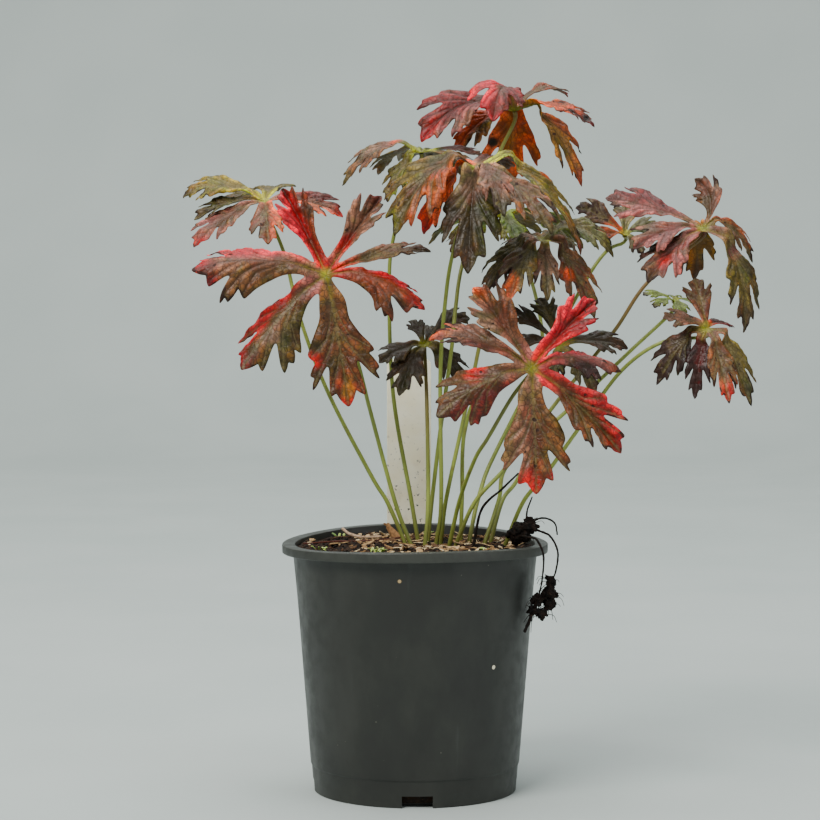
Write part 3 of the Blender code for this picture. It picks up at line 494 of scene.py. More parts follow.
def linear(hex_colour):
    """A written colour as linear light."""
    parts = [int(hex_colour[k:k + 2], 16) / 255 for k in (1, 3, 5)]
    return tuple(c / 12.92 if c <= 0.04045 else ((c + 0.055) / 1.055) ** 2.4 for c in parts)


def hue(name):
    """A named colour as an array of linear light."""
    return np.array(linear(HUES[name]))


def field(points, scale, shift):
    """Smooth noise at each of many points."""
    return np.array([noise.noise(Vector(p) * scale + Vector(shift)) for p in points])


def smoothstep(low, high, value):
    t = np.clip((value - low) / (high - low), 0.0, 1.0)
    return t * t * (3 - 2 * t)


def shown(item, node_names):
    """Say what a finished piece stands for."""
    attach(item, "root")
    if node_names:
        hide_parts(*node_names)
    return item


def mesh_piece(name, points, faces, mat, smooth_angle=60):
    """A piece from points in millimetres."""
    mesh = bpy.data.meshes.new(name)
    mesh.from_pydata([tuple(c * MM for c in p) for p in points], [], [tuple(f) for f in faces])
    mesh.update()
    item = bpy.data.objects.new(name, mesh)
    bpy.context.collection.objects.link(item)
    if mat:
        mesh.materials.append(mat)
    mesh.shade_smooth()
    if smooth_angle:
        mesh.set_sharp_from_angle(angle=math.radians(smooth_angle))
    return item


def attribute(item, name, values, kind="FLOAT"):
    """A value or a colour for every point of a piece, which its material reads by name."""
    layer = item.data.attributes.new(name, kind, "POINT")
    if kind == "FLOAT_COLOR":
        flat = np.ones((len(values), 4))
        flat[:, :3] = values
        layer.data.foreach_set("color", flat.ravel())
    else:
        layer.data.foreach_set("value", np.asarray(values, dtype=float))


def apply_modifier(item, kind, **settings):
    step = item.modifiers.new("step", kind)
    for key, value in settings.items():
        setattr(step, key, value)
    with bpy.context.temp_override(object=item):
        bpy.ops.object.modifier_apply(modifier=step.name)


def ball_mesh(balls):
    """Points and faces of many round lumps, each a place, a radius and how finely it is cut."""
    work = bmesh.new()
    for place, radius, cuts in balls:
        bmesh.ops.create_icosphere(work, subdivisions=cuts, radius=radius,
                                   matrix=Matrix.Translation(place))
    points = [v.co.copy() for v in work.verts]
    faces = [tuple(v.index for v in f.verts) for f in work.faces]
    work.free()
    return points, faces


class Nodes:
    """A short way to write a material's nodes."""

    def __init__(self, name, roughness, specular):
        self.mat = bpy.data.materials.new(name)
        self.mat.use_nodes = True
        self.tree = self.mat.node_tree
        self.shader = self.tree.nodes["Principled BSDF"]
        self.shader.inputs["Roughness"].default_value = roughness
        self.shader.inputs["Specular IOR Level"].default_value = specular
        self.place = self.add("ShaderNodeTexCoord").outputs["Object"]

    def add(self, kind, **settings):
        node = self.tree.nodes.new(kind)
        for key, value in settings.items():
            setattr(node, key, value)
        return node

    def link(self, source, target):
        self.tree.links.new(source, target)

    def feed(self, socket, value):
        if hasattr(value, "is_output"):
            self.link(value, socket)
        else:
            socket.default_value = value

    def noise(self, size_mm, detail=4.0, rough=0.55, stretch=None):
        """Noise whose features are about the given size."""
        node = self.add("ShaderNodeTexNoise")
        node.inputs["Scale"].default_value = 1 / (size_mm * MM)
        node.inputs["Detail"].default_value = detail
        node.inputs["Roughness"].default_value = rough
        source = self.place
        if stretch:
            mapping = self.add("ShaderNodeMapping")
            mapping.inputs["Scale"].default_value = stretch
            self.link(source, mapping.inputs["Vector"])
            source = mapping.outputs["Vector"]
        self.link(source, node.inputs["Vector"])
        return node.outputs["Fac"]

    def cells(self, size_mm, feature="F1"):
        node = self.add("ShaderNodeTexVoronoi", feature=feature)
        node.inputs["Scale"].default_value = 1 / (size_mm * MM)
        self.link(self.place, node.inputs["Vector"])
        return node.outputs["Distance"]

    def ramp(self, value, low, high, out_low=0.0, out_high=1.0):
        node = self.add("ShaderNodeMapRange", interpolation_type="SMOOTHSTEP")
        self.link(value, node.inputs["Value"])
        for name, bound in (("From Min", low), ("From Max", high), ("To Min", out_low),
                            ("To Max", out_high)):
            node.inputs[name].default_value = bound
        return node.outputs["Result"]

    def math(self, operation, a, b):
        node = self.add("ShaderNodeMath", operation=operation)
        self.feed(node.inputs[0], a)
        self.feed(node.inputs[1], b)
        return node.outputs[0]

    def mix(self, share, a, b):
        """Two colours mixed, each of them a node's output, a written colour or linear light."""
        node = self.add("ShaderNodeMix", data_type="RGBA")
        self.feed(node.inputs["Factor"], share)
        for name, colour in (("A", a), ("B", b)):
            if isinstance(colour, str):
                colour = linear(colour)
            self.feed(node.inputs[name], colour if hasattr(colour, "is_output") else (*colour, 1.0))
        return node.outputs["Result"]

    def patches(self, colour, size_mm, detail, bounds, share, paint):
        """The colour with noise patches of another over it."""
        return self.mix(self.ramp(self.noise(size_mm, detail), *bounds, 0.0, share), colour, paint)

    def two_tone(self, size_mm, detail, first, second):
        """Soft patches of two colours."""
        return self.mix(self.ramp(self.noise(size_mm, detail), 0.35, 0.7), first, second)

    def attribute(self, name, output="Fac"):
        return self.add("ShaderNodeAttribute", attribute_name=name).outputs[output]

    def near(self, place_mm, low_mm, high_mm):
        """One close to a place, and nothing farther away from it."""
        node = self.add("ShaderNodeVectorMath", operation="DISTANCE")
        self.link(self.place, node.inputs[0])
        node.inputs[1].default_value = tuple(c * MM for c in place_mm)
        return self.ramp(node.outputs["Value"], low_mm * MM, high_mm * MM, 1.0, 0.0)

    def bump(self, height, depth_mm, strength=1.0, after=None):
        """A bump of the given depth, or a groove where the depth is below zero."""
        node = self.add("ShaderNodeBump", invert=depth_mm < 0)
        node.inputs["Strength"].default_value = strength
        node.inputs["Distance"].default_value = abs(depth_mm) * MM
        self.link(height, node.inputs["Height"])
        if after:
            self.link(after, node.inputs["Normal"])
        return node.outputs["Normal"]

    def finish(self, colour, roughness, normal):
        for name, output in (("Base Color", colour), ("Roughness", roughness), ("Normal", normal)):
            self.link(output, self.shader.inputs[name])
        return self.mat


def leaf_material():
    n = Nodes("leaf_skin", 0.44, 0.24)
    n.shader.inputs["Coat Weight"].default_value = 0.05
    n.shader.inputs["Coat Roughness"].default_value = 0.35
    tint = n.attribute("tint", "Color")
    vein = n.attribute("vein")
    burn = n.attribute("burn")
    quilt = n.attribute("quilt")
    black = (0.0, 0.0, 0.0)
    dark = n.mix(0.68, tint, black)
    colour = n.mix(n.ramp(n.noise(7.0, 4.0), 0.35, 0.68), dark, tint)
    colour = n.mix(n.ramp(n.noise(1.5, 4.0, 0.65), 0.46, 0.74, 0.0, 0.35), colour, dark)
    # Painted shade: the colour darkens towards the veins, in the sunken grooves between the quilted
    # cushions.
    colour = n.mix(n.ramp(quilt, 0.0, 0.7, 0.70, 0.0), colour, n.mix(0.8, tint, black))
    # The dark net of small veins and the near-black along the veins are partly their own colour and
    # partly painted shade in their sunken grooves.
    net = n.ramp(n.cells(2.7, "DISTANCE_TO_EDGE"), 0.0, 0.11, 1.0, 0.0)
    deep = n.mix(0.85, tint, (0.004, 0.002, 0.001))
    colour = n.mix(n.math("MULTIPLY", net, 0.78), colour, deep)
    colour = n.mix(n.ramp(vein, 0.25, 0.80, 0.0, 0.88), colour, deep)
    edge = n.math("ADD", burn, n.math("MULTIPLY", n.math("SUBTRACT", n.noise(2.6), 0.5), 0.9))
    scorched = n.ramp(edge, 0.40, 0.58)
    colour = n.mix(n.math("MULTIPLY", scorched, 0.9), colour,
                   n.mix(n.noise(3.0), "#080302", "#301408"))
    rough = n.math("ADD", n.ramp(n.noise(5.0), 0.3, 0.75, 0.38, 0.55),
                   n.math("MULTIPLY", scorched, 0.25))
    normal = n.bump(n.noise(0.8, 3.0), 0.04, 0.5)
    normal = n.bump(net, -0.13, 0.8, normal)
    return n.finish(colour, rough, normal)


def stalk_material():
    n = Nodes("stalk_skin", 0.42, 0.4)
    tint = n.attribute("tint", "Color")
    long_noise = n.noise(3.0, 3.0, 0.5, (1.0, 1.0, 0.12))
    shade = n.mix(0.40, tint, "#39430f")
    colour = n.mix(n.ramp(long_noise, 0.35, 0.7, 0.0, 0.7), tint, shade)
    colour = n.patches(colour, 6.0, 3.0, (0.55, 0.78), 0.5, "#6a4a24")
    colour = n.patches(colour, 1.1, 4.0, (0.64, 0.72), 0.8, "#2a160a")
    rough = n.ramp(n.noise(4.0), 0.3, 0.7, 0.36, 0.52)
    normal = n.bump(long_noise, 0.10, 0.5)
    return n.finish(colour, rough, normal)


def soil_material():
    n = Nodes("soil_crumbs", 0.95, 0.2)
    colour = n.two_tone(6.0, 5.0, "#0d0704", "#2e1e10")
    colour = n.patches(colour, 0.9, 3.0, (0.62, 0.72), 0.7, "#6b4a2c")
    rough = n.ramp(n.noise(2.0), 0.3, 0.7, 0.8, 1.0)
    normal = n.bump(n.noise(1.2, 6.0, 0.7), 0.8, 0.9)
    return n.finish(colour, rough, normal)


def chip_material():
    n = Nodes("bark_chips", 0.8, 0.25)
    tint = n.attribute("tint", "Color")
    grain = n.noise(1.1, 4.0, 0.6)
    colour = n.mix(n.ramp(grain, 0.35, 0.7, 0.0, 0.75), tint, n.mix(0.7, tint, "#241206"))
    normal = n.bump(grain, 0.25, 0.8)
    return n.finish(colour, n.ramp(n.noise(2.0), 0.3, 0.7, 0.65, 0.95), normal)


def root_material():
    n = Nodes("root_dark", 0.9, 0.2)
    colour = n.two_tone(2.5, 5.0, "#050302", "#1d120b")
    colour = n.patches(colour, 0.9, 2.0, (0.64, 0.72), 0.6, "#4a3320")
    normal = n.bump(n.noise(0.8, 5.0, 0.7), 0.5, 0.8)
    return n.finish(colour, n.ramp(n.noise(1.5), 0.3, 0.7, 0.7, 1.0), normal)


def pot_material():
    n = Nodes("pot_plastic", 0.45, 0.4)
    dust = n.ramp(n.noise(26.0, 5.0, 0.6, (1.0, 1.0, 0.6)), 0.35, 0.75)
    colour = n.mix(dust, "#1d1e1b", "#292a26")
    # Lighter mottles over the rim's lip, most at its top edge, and a little at the foot, with a
    # rougher gloss there.
    pale_bands = n.attribute("pale_bands")
    pale_mottle = n.math("MULTIPLY", pale_bands, n.ramp(n.noise(5.0, 5.0, 0.65), 0.30, 0.65, 0.45, 1.0))
    colour = n.mix(pale_mottle, colour, "#3d403a")
    streak = n.ramp(n.noise(9.0, 4.0, 0.6, (1.0, 1.0, 0.10)), 0.62, 0.80, 0.0, 0.16)
    colour = n.mix(streak, colour, "#5a625f")
    speck = n.ramp(n.cells(9.0), 0.015, 0.04, 0.4, 0.0)
    colour = n.mix(speck, colour, "#8d8a7c")
    mud = n.math("MULTIPLY", n.near((55.0, -26.0, 119.0), 2.0, 9.0),
                 n.ramp(n.noise(2.4, 5.0, 0.7), 0.50, 0.58))
    colour = n.mix(mud, colour, "#0c0604")
    colour = n.mix(n.near((-7.5, -59.6, 111.8), 0.7, 1.0), colour, "#a58d62")
    colour = n.mix(n.near((38.0, -41.5, 67.6), 0.9, 1.2), colour, "#e4dcc0")
    rough = n.math("ADD", n.ramp(n.noise(7.0, 5.0), 0.3, 0.75, 0.36, 0.52),
                   n.math("MULTIPLY", pale_mottle, 0.12))
    normal = n.bump(n.noise(0.5, 2.0), 0.03, 0.5)
    normal = n.bump(n.noise(18.0, 2.0, 0.4, (1.0, 1.0, 0.35)), 0.25, 0.35, normal)
    return n.finish(colour, rough, normal)


def label_material():
    n = Nodes("label_plastic", 0.42, 0.4)
    low = n.ramp(n.attribute("height"), 128.0, 185.0, 1.0, 0.12)
    colour = n.mix(n.ramp(n.noise(12.0), 0.3, 0.7), "#fffbe2", "#fbf3d2")
    grime = n.math("MULTIPLY", low, n.ramp(n.noise(7.0, 5.0, 0.7), 0.45, 0.75))
    colour = n.mix(n.math("MULTIPLY", grime, 0.30), colour, "#a89468")
    dots = n.math("MULTIPLY", low, n.ramp(n.noise(2.2, 3.0, 0.6), 0.62, 0.66))
    colour = n.mix(dots, colour, "#140b07")
    rough = n.ramp(n.noise(4.0), 0.3, 0.7, 0.38, 0.55)
    normal = n.bump(n.noise(1.0), 0.03, 0.5)
    return n.finish(colour, rough, normal)


def floor_material():
    n = Nodes("floor_paint", 0.75, 0.3)
    colour = n.mix(n.ramp(n.noise(160.0, 3.0), 0.3, 0.7), "#a3adaa", "#a8b1ae")
    rough = n.ramp(n.noise(40.0), 0.3, 0.7, 0.7, 0.85)
    return n.finish(colour, rough, n.bump(n.noise(1.0), 0.03, 0.3))


def route_points(points, count):
    """Even samples along a Catmull-Rom curve through the given points."""
    pts = [Vector(p) for p in points]
    pts = [2 * pts[0] - pts[1]] + pts + [2 * pts[-1] - pts[-2]]
    fine = []
    for k in range(1, len(pts) - 2):
        p0, p1, p2, p3 = pts[k - 1:k + 3]
        for step in range(CURVE_STEPS):
            t = step / CURVE_STEPS
            fine.append(0.5 * (2 * p1 + (p2 - p0) * t + (2 * p0 - 5 * p1 + 4 * p2 - p3) * t ** 2
                               + (3 * p1 - p0 - 3 * p2 + p3) * t ** 3))
    fine.append(pts[-2])
    lengths = [0.0]
    for a, b in zip(fine, fine[1:]):
        lengths.append(lengths[-1] + (b - a).length)
    samples = []
    k = 0
    for step in range(count):
        want = lengths[-1] * step / (count - 1)
        while k < len(fine) - 2 and lengths[k + 1] < want:
            k += 1
        share = (want - lengths[k]) / max(lengths[k + 1] - lengths[k], 1e-9)
        samples.append(fine[k].lerp(fine[k + 1], min(share, 1.0)))
    return samples


def ring_faces(rings, sides):
    """Faces of a closed tube made of rings of points."""
    faces = [tuple(range(sides - 1, -1, -1))]
    for low in range(0, (rings - 1) * sides, sides):
        for s in range(sides):
            after = (s + 1) % sides
            faces.append((low + s, low + after, low + sides + after, low + sides + s))
    return faces + [tuple(range((rings - 1) * sides, rings * sides))]


def tube_mesh(path, radii, sides, end_axis=None, wobble=0.0, seed=0):
    """Points and faces of a closed tube along a path."""
    points = []
    side = Vector((1, 0.01, 0.02))
    for k, centre in enumerate(path):
        tangent = (path[min(k + 1, len(path) - 1)] - path[max(k - 1, 0)]).normalized()
        if end_axis and k == len(path) - 1:
            tangent = Vector(end_axis).normalized()
        side = (side - tangent * side.dot(tangent)).normalized()
        other = tangent.cross(side)
        for s in range(sides):
            angle = 2 * math.pi * s / sides
            reach = radii[k]
            if wobble:
                reach *= 1 + wobble * noise.noise(Vector((s * 1.7, k * 0.31, seed * 5.1)))
            points.append(centre + reach * (side * math.cos(angle) + other * math.sin(angle)))
    return points, ring_faces(len(path), sides)


class Heap:
    """Collects many small meshes, with a tint for each, into one piece."""

    def __init__(self):
        self.points = []
        self.faces = []
        self.tints = []

    def add(self, points, faces, tint):
        low = len(self.points)
        self.points += [tuple(p) for p in points]
        self.faces += [tuple(v + low for v in face) for face in faces]
        self.tints += [tint] * len(points)

    def piece(self, name, mat, angle=50):
        item = mesh_piece(name, self.points, self.faces, mat, angle)
        attribute(item, "tint", self.tints, "FLOAT_COLOR")
        return item


def wall_radius(height):
    return POT_FOOT_RADIUS + (POT_WALL_TOP_RADIUS - POT_FOOT_RADIUS) * height / POT_HEIGHT


def rim_wave(point):
    """The soft rim is a little out of round. It sags at both sides, and its front left dips."""
    rise = max(0.0, (point.z - RIM_SOFT_FROM) / (POT_HEIGHT - RIM_SOFT_FROM))
    angle = math.atan2(point.y, point.x)
    squeeze = 1 + RIM_SQUEEZE * rise * math.cos(2 * angle)
    dip = -RIM_DIP * rise ** 3 * max(0.0, math.cos(angle - math.radians(RIM_DIP_BEARING))) ** 2
    sag = -RIM_SAG * rise ** 3 * math.cos(angle) ** 2
    return Vector((point.x * squeeze, point.y * (2 - squeeze), point.z + dip + sag))


def rounded(corners, radius, steps=4):
    """A profile with its inner corners rounded."""
    out = [corners[0]]
    for before, here, after in zip(corners, corners[1:], corners[2:]):
        a = Vector(here) - Vector(before)
        b = Vector(after) - Vector(here)
        reach = min(radius, a.length * 0.45, b.length * 0.45)
        start = Vector(here) - a.normalized() * reach
        end = Vector(here) + b.normalized() * reach
        for k in range(steps + 1):
            t = k / steps
            out.append(tuple(start * (1 - t) ** 2 + Vector(here) * 2 * t * (1 - t) + end * t * t))
    return out + [corners[-1]]


def turned_mesh(profile, segments, shift=None):
    points = [Vector((0, 0, profile[0][1]))]
    for radius, height in profile[1:-1]:
        for k in range(segments):
            angle = 2 * math.pi * k / segments
            points.append(Vector((radius * math.cos(angle), radius * math.sin(angle), height)))
    points.append(Vector((0, 0, profile[-1][1])))
    if shift:
        points = [shift(p) for p in points]
    rings = len(profile) - 2
    faces = []
    for k in range(segments):
        after = (k + 1) % segments
        faces.append((0, 1 + k, 1 + after))
        for ring in range(rings - 1):
            low = 1 + ring * segments
            faces.append((low + k, low + segments + k, low + segments + after, low + after))
        last = 1 + (rings - 1) * segments
        faces.append((len(points) - 1, last + after, last + k))
    return points, faces


def box_piece(low, high):
    corners = [(x, y, z) for x in (low[0], high[0]) for y in (low[1], high[1])
               for z in (low[2], high[2])]
    faces = ((0, 1, 3, 2), (4, 6, 7, 5), (0, 4, 5, 1), (2, 3, 7, 6), (0, 2, 6, 4), (1, 5, 7, 3))
    return mesh_piece("cutter", corners, faces, None, 0)


def cut(target, cutters):
    for cutter in cutters:
        apply_modifier(target, "BOOLEAN", operation="DIFFERENCE", solver="EXACT", object=cutter)
        bpy.data.objects.remove(cutter, do_unlink=True)


def build_pot():
    inner_top = POT_WALL_TOP_RADIUS - POT_WALL
    lip_inner = RIM_RADIUS - RIM_THICKNESS
    under = POT_HEIGHT - RIM_THICKNESS
    floor_radius = wall_radius(POT_FLOOR) - POT_WALL
    corners = (
        (0, POT_FLOOR), (floor_radius, POT_FLOOR), (inner_top, POT_HEIGHT),
        (RIM_RADIUS, POT_HEIGHT), (RIM_RADIUS, POT_HEIGHT - RIM_LIP_DEPTH),
        (lip_inner, POT_HEIGHT - RIM_LIP_DEPTH), (lip_inner, under), (POT_WALL_TOP_RADIUS, under),
        (wall_radius(LEDGE_HEIGHT + LEDGE_SLOPE), LEDGE_HEIGHT + LEDGE_SLOPE),
        (wall_radius(LEDGE_HEIGHT) - LEDGE_STEP, LEDGE_HEIGHT),
        (POT_FOOT_RADIUS - LEDGE_STEP, 0), (0, 0),
    )
    profile = rounded(corners, CORNER_RADIUS)
    long_runs = []
    for a, b in zip(profile, profile[1:]):
        long_runs.append(a)
        length = math.hypot(b[0] - a[0], b[1] - a[1])
        steps = int(length // WALL_STEP) if min(a[0], b[0]) > POT_FOOT_RADIUS / 2 else 1
        for k in range(1, steps):
            share = k / steps
            long_runs.append((a[0] + (b[0] - a[0]) * share, a[1] + (b[1] - a[1]) * share))
    long_runs.append(profile[-1])
    points, faces = turned_mesh(long_runs, POT_SEGMENTS, rim_wave)
    item = mesh_piece("pot_shell", points, faces, pot_material(), POT_SHARP)
    cutters = []
    for turn in range(DRAIN_COUNT):
        cutter = box_piece((POT_FOOT_RADIUS - DRAIN_DEPTH, -DRAIN_WIDTH / 2, -1),
                           (POT_FOOT_RADIUS + 2, DRAIN_WIDTH / 2, DRAIN_HEIGHT))
        bearing = math.radians(DRAIN_BEARING + turn * 360 / DRAIN_COUNT)
        cutter.data.transform(Matrix.Rotation(bearing, 4, "Z"))
        cutters.append(cutter)
    half = LABEL_WIDTH / 2 + GAP
    depth = LABEL_THICKNESS / 2 + GAP
    cutters.append(box_piece((LABEL_CENTRE_X - half, LABEL_Y - depth, POT_HEIGHT - 3),
                             (LABEL_CENTRE_X + half, LABEL_Y + depth, POT_HEIGHT + 2)))
    cut(item, cutters)
    item.data.shade_smooth()
    item.data.set_sharp_from_angle(angle=math.radians(POT_SHARP))
    # The shell is marked lighter over the rim's lip, most along its top edge, and a little at the
    # foot.
    places = np.array([v.co for v in item.data.vertices]) / MM
    reach = np.hypot(places[:, 0], places[:, 1])
    pale_bands = smoothstep(118.5, 121.5, places[:, 2]) * smoothstep(60.0, 62.0, reach) * 0.5
    pale_bands = np.maximum(pale_bands, 0.8 * smoothstep(POT_HEIGHT - 1.4, POT_HEIGHT - 0.2, places[:, 2]))
    pale_bands = np.maximum(pale_bands, 0.25 * smoothstep(4.0, 0.5, places[:, 2]))
    attribute(item, "pale_bands", pale_bands)
    return shown(item, ["pot"])


def soil_height(x, y):
    radius = math.hypot(x, y)
    grain = noise.noise(Vector((x, y, 3.0)) * SOIL_GRAIN_SCALE) * SOIL_GRAIN
    return SOIL_TOP + SOIL_MOUND * (1 - (radius / POT_WALL_TOP_RADIUS) ** 2) + grain


def build_soil():
    """The bed, and on it crumbs, chips, straws, a leaf scrap and a few green sprouts."""
    rng = random.Random(41)
    build_bed()
    build_crumbs(rng)
    build_chips(rng)
    build_straws(rng)
    build_scrap()
    build_sprouts(rng)


def build_bed():
    bottom = POT_FLOOR + GAP
    low_radius = wall_radius(POT_FLOOR) - POT_WALL - 1.3
    edge = wall_radius(SOIL_TOP) - POT_WALL - 0.6
    profile = [(0, SOIL_TOP)]
    profile += [(edge * (k + 1) / SOIL_RINGS, SOIL_TOP) for k in range(SOIL_RINGS)]
    profile += [(edge - 0.8, SOIL_TOP - SOIL_SKIRT), (low_radius, bottom), (0, bottom)]

    def lumps(point):
        if point.z < SOIL_TOP - 1:
            return point
        rough = noise.fractal(Vector((point.x, point.y, 9.0)) * 0.35, 0.8, 2.1, 4)
        return Vector((point.x, point.y, soil_height(point.x, point.y) + SOIL_LUMPS * rough))

    points, faces = turned_mesh(profile, SOIL_SEGMENTS, lumps)
    bed = mesh_piece("soil_bed", points, faces, soil_material(), 0)
    shown(bed, ["soil"])


def soil_place(rng, low, high, clear):
    """A random place on the soil between two corners, clear of every stalk's foot."""
    while True:
        x = rng.uniform(low[0], high[0])
        y = rng.uniform(low[1], high[1])
        apart = min(math.hypot(x - foot[0], y - foot[1]) for foot in FEET)
        if math.hypot(x, y) < SOIL_REACH and apart > clear:
            return x, y


def build_crumbs(rng):
    crumbs = Heap()
    ball, faces = ball_mesh([((0, 0, 0), 1.0, 1)])
    darks = [linear(c) for c in ("#0b0603", "#170d06", "#2a1a0d", "#452d19", "#070402")]
    for _ in range(CRUMBS):
        x, y = soil_place(rng, (-58, -58), (58, 58), 1.9)
        size = rng.uniform(0.35, 1.25) ** 1.3
        squash = Vector((rng.uniform(0.7, 1.3), rng.uniform(0.7, 1.3), rng.uniform(0.5, 0.9)))
        shift = Vector((rng.uniform(0, 50), 0, 0))
        centre = Vector((x, y, soil_height(x, y) + size * 0.3))
        points = []
        for v in ball:
            bump = size * (1 + 0.3 * noise.noise(v * 1.3 + shift))
            points.append(centre + Vector(a * b * bump for a, b in zip(v, squash)))
        crumbs.add(points, faces, rng.choice(darks))
    shown(crumbs.piece("soil_crumbs", chip_material(), 0), [])


def build_chips(rng):
    chips = Heap()
    for index in range(CHIPS):
        if index < CHIPS_IN_MIDDLE:
            place = soil_place(rng, (-32, -54), (54, 50), 2.3)
        else:
            place = soil_place(rng, (-56, -56), (56, 56), 2.3)
        length = rng.uniform(1.8, 6.5) if index % 8 else rng.uniform(7, 12)
        width = rng.uniform(0.8, 2.6)
        thick = rng.uniform(0.3, 0.7)
        chips.add(*splinter(rng, place, length, width, thick), linear(rng.choice(TANS)))
    shown(chips.piece("bark_chips", chip_material(), 40), [])


def build_straws(rng):
    straws = Heap()
    for _ in range(STRAWS):
        place = soil_place(rng, (-44, -50), (54, 50), 2.4)
        straws.add(*straw(rng, place, rng.uniform(8, 26)), linear(rng.choice(TANS)))
    twig = ((-37, 30, 127.6), (-33, 26, 125.2), (-26, 22, 124.2), (-17, 20, 124.6))
    straws.add(*tube_mesh(route_points(twig, 14), [0.75] * 14, 7, None, 0.3, 3), linear("#b79c80"))
    root = ((-56, 6, 122.6), (-40, 9, 123.4), (-24, 7, 123.9), (-5, 12, 125.2))
    straws.add(*tube_mesh(route_points(root, 26), [0.45] * 26, 6, None, 0.3, 4), linear("#4a2014"))
    shown(straws.piece("dry_straws", chip_material(), 0), [])


def splinter(rng, place, length, width, thick):
    """A flat splinter with torn ends, lying tilted on the soil."""
    x, y = place
    rows = 5
    points = []
    bend = rng.uniform(-0.12, 0.12)
    for k in range(rows):
        t = k / (rows - 1)
        swell = math.sin(math.pi * (0.15 + 0.7 * t)) * rng.uniform(0.7, 1.0)
        reach = width / 2 * (0.55 + 0.9 * swell)
        if k in (0, rows - 1):
            reach *= rng.uniform(0.15, 0.7)
        along = (t - 0.5) * length
        lift = bend * length * 4 * (t - 0.5) ** 2
        skew = rng.uniform(-0.15, 0.15) * width
        points += [Vector((along, skew - reach, lift)), Vector((along, skew + reach, lift)),
                   Vector((along, skew + reach * 0.85, lift + thick)),
                   Vector((along, skew - reach * 0.85, lift + thick))]
    spin = (Matrix.Rotation(rng.uniform(0, 2 * math.pi), 3, "Z")
            @ Matrix.Rotation(math.radians(rng.uniform(-20, 20)), 3, "Y")
            @ Matrix.Rotation(math.radians(rng.uniform(-28, 28)), 3, "X"))
    centre = Vector((x, y, soil_height(x, y) + 0.15 + 0.04 * length))
    return [centre + spin @ p for p in points], [face[::-1] for face in ring_faces(rows, 4)]


def straw(rng, place, length):
    """A thin dry root or straw that follows the soil."""
    x, y = place
    heading = rng.uniform(0, 2 * math.pi)
    turn = rng.uniform(-0.25, 0.25)
    route = []
    steps = 8
    for k in range(steps):
        if math.hypot(x, y) > SOIL_REACH - 0.5:
            heading += math.pi / 2
        route.append((x, y, soil_height(x, y) + 0.7 + rng.uniform(-0.3, 0.6)))
        x += length / steps * math.cos(heading)
        y += length / steps * math.sin(heading)
        heading += turn + rng.uniform(-0.2, 0.2)
    path = route_points(route, 3 * steps)
    radius = rng.uniform(0.22, 0.5)
    return tube_mesh(path, [radius * (1 - 0.4 * k / len(path)) for k in range(len(path))], 5)


def build_scrap():
    """A curled dry leaf scrap that stands on the soil at the back."""
    rows, columns = 12, 7
    points = []
    for side in (0, 0.5):
        for r in range(rows):
            t = r / (rows - 1)
            for c in range(columns):
                s = c / (columns - 1) - 0.5
                curl = 2.2 * s
                wide = 3.4 * (0.6 + 0.5 * math.sin(math.pi * min(1, t + 0.2)))
                ragged = 0.5 * noise.noise(Vector((r * 0.6, c * 0.9, side)))
                points.append(Vector((-14.5 + 6.5 * (1 - t) + wide * math.sin(curl) * 0.8 + ragged,
                                      22 + wide * (1 - math.cos(curl)) * 0.8 + side,
                                      soil_height(-9, 22) - 0.5 + 9.0 * t + ragged)))
    size = rows * columns
    faces = []
    for r in range(rows - 1):
        for c in range(columns - 1):
            a = r * columns + c
            faces.append((a, a + 1, a + columns + 1, a + columns))
            faces.append((a + size, a + columns + size, a + columns + 1 + size, a + 1 + size))
    loop = [c for c in range(columns)] + [r * columns + columns - 1 for r in range(1, rows)]
    loop += [(rows - 1) * columns + c for c in range(columns - 2, -1, -1)]
    loop += [r * columns for r in range(rows - 2, 0, -1)]
    for a, b in zip(loop, loop[1:] + loop[:1]):
        faces.append((b, a, a + size, b + size))
    heap = Heap()
    heap.add(points, faces, linear("#b98a5c"))
    shown(heap.piece("dry_scrap", chip_material(), 60), [])


def build_sprouts(rng):
    """Small green seedlings and tufts of moss near the rim."""
    heap = Heap()
    greens = [linear(c) for c in ("#7d9a3c", "#9bb04e", "#5f7d33", "#c3cf86")]
    for x, y, count in ((-46, -22, 7), (-20, -34, 9), (-18, -30, 7), (8, 40, 5), (34, -30, 6),
                        (-38, 34, 6)):
        for _ in range(count):
            px = x + rng.uniform(-3, 3)
            py = y + rng.uniform(-3, 3)
            base = Vector((px, py, soil_height(px, py)))
            heading = rng.uniform(0, 2 * math.pi)
            out = Vector((math.cos(heading), math.sin(heading), 0))
            side = Vector((-out.y, out.x, 0))
            length = rng.uniform(1.4, 3.2)
            wide = length * 0.3
            rows = []
            for k in range(5):
                t = k / 4
                centre = base + out * length * t + Vector((0, 0, 0.3 + 1.8 * math.sin(1.9 * t)))
                reach = wide * math.sin(math.pi * (0.12 + 0.8 * t))
                rows += [centre - side * reach, centre + Vector((0, 0, -0.12)),
                         centre + side * reach, centre + Vector((0, 0, 0.25))]
            heap.add(rows, ring_faces(5, 4), rng.choice(greens))
    shown(heap.piece("sprouts", stalk_material(), 60), [])


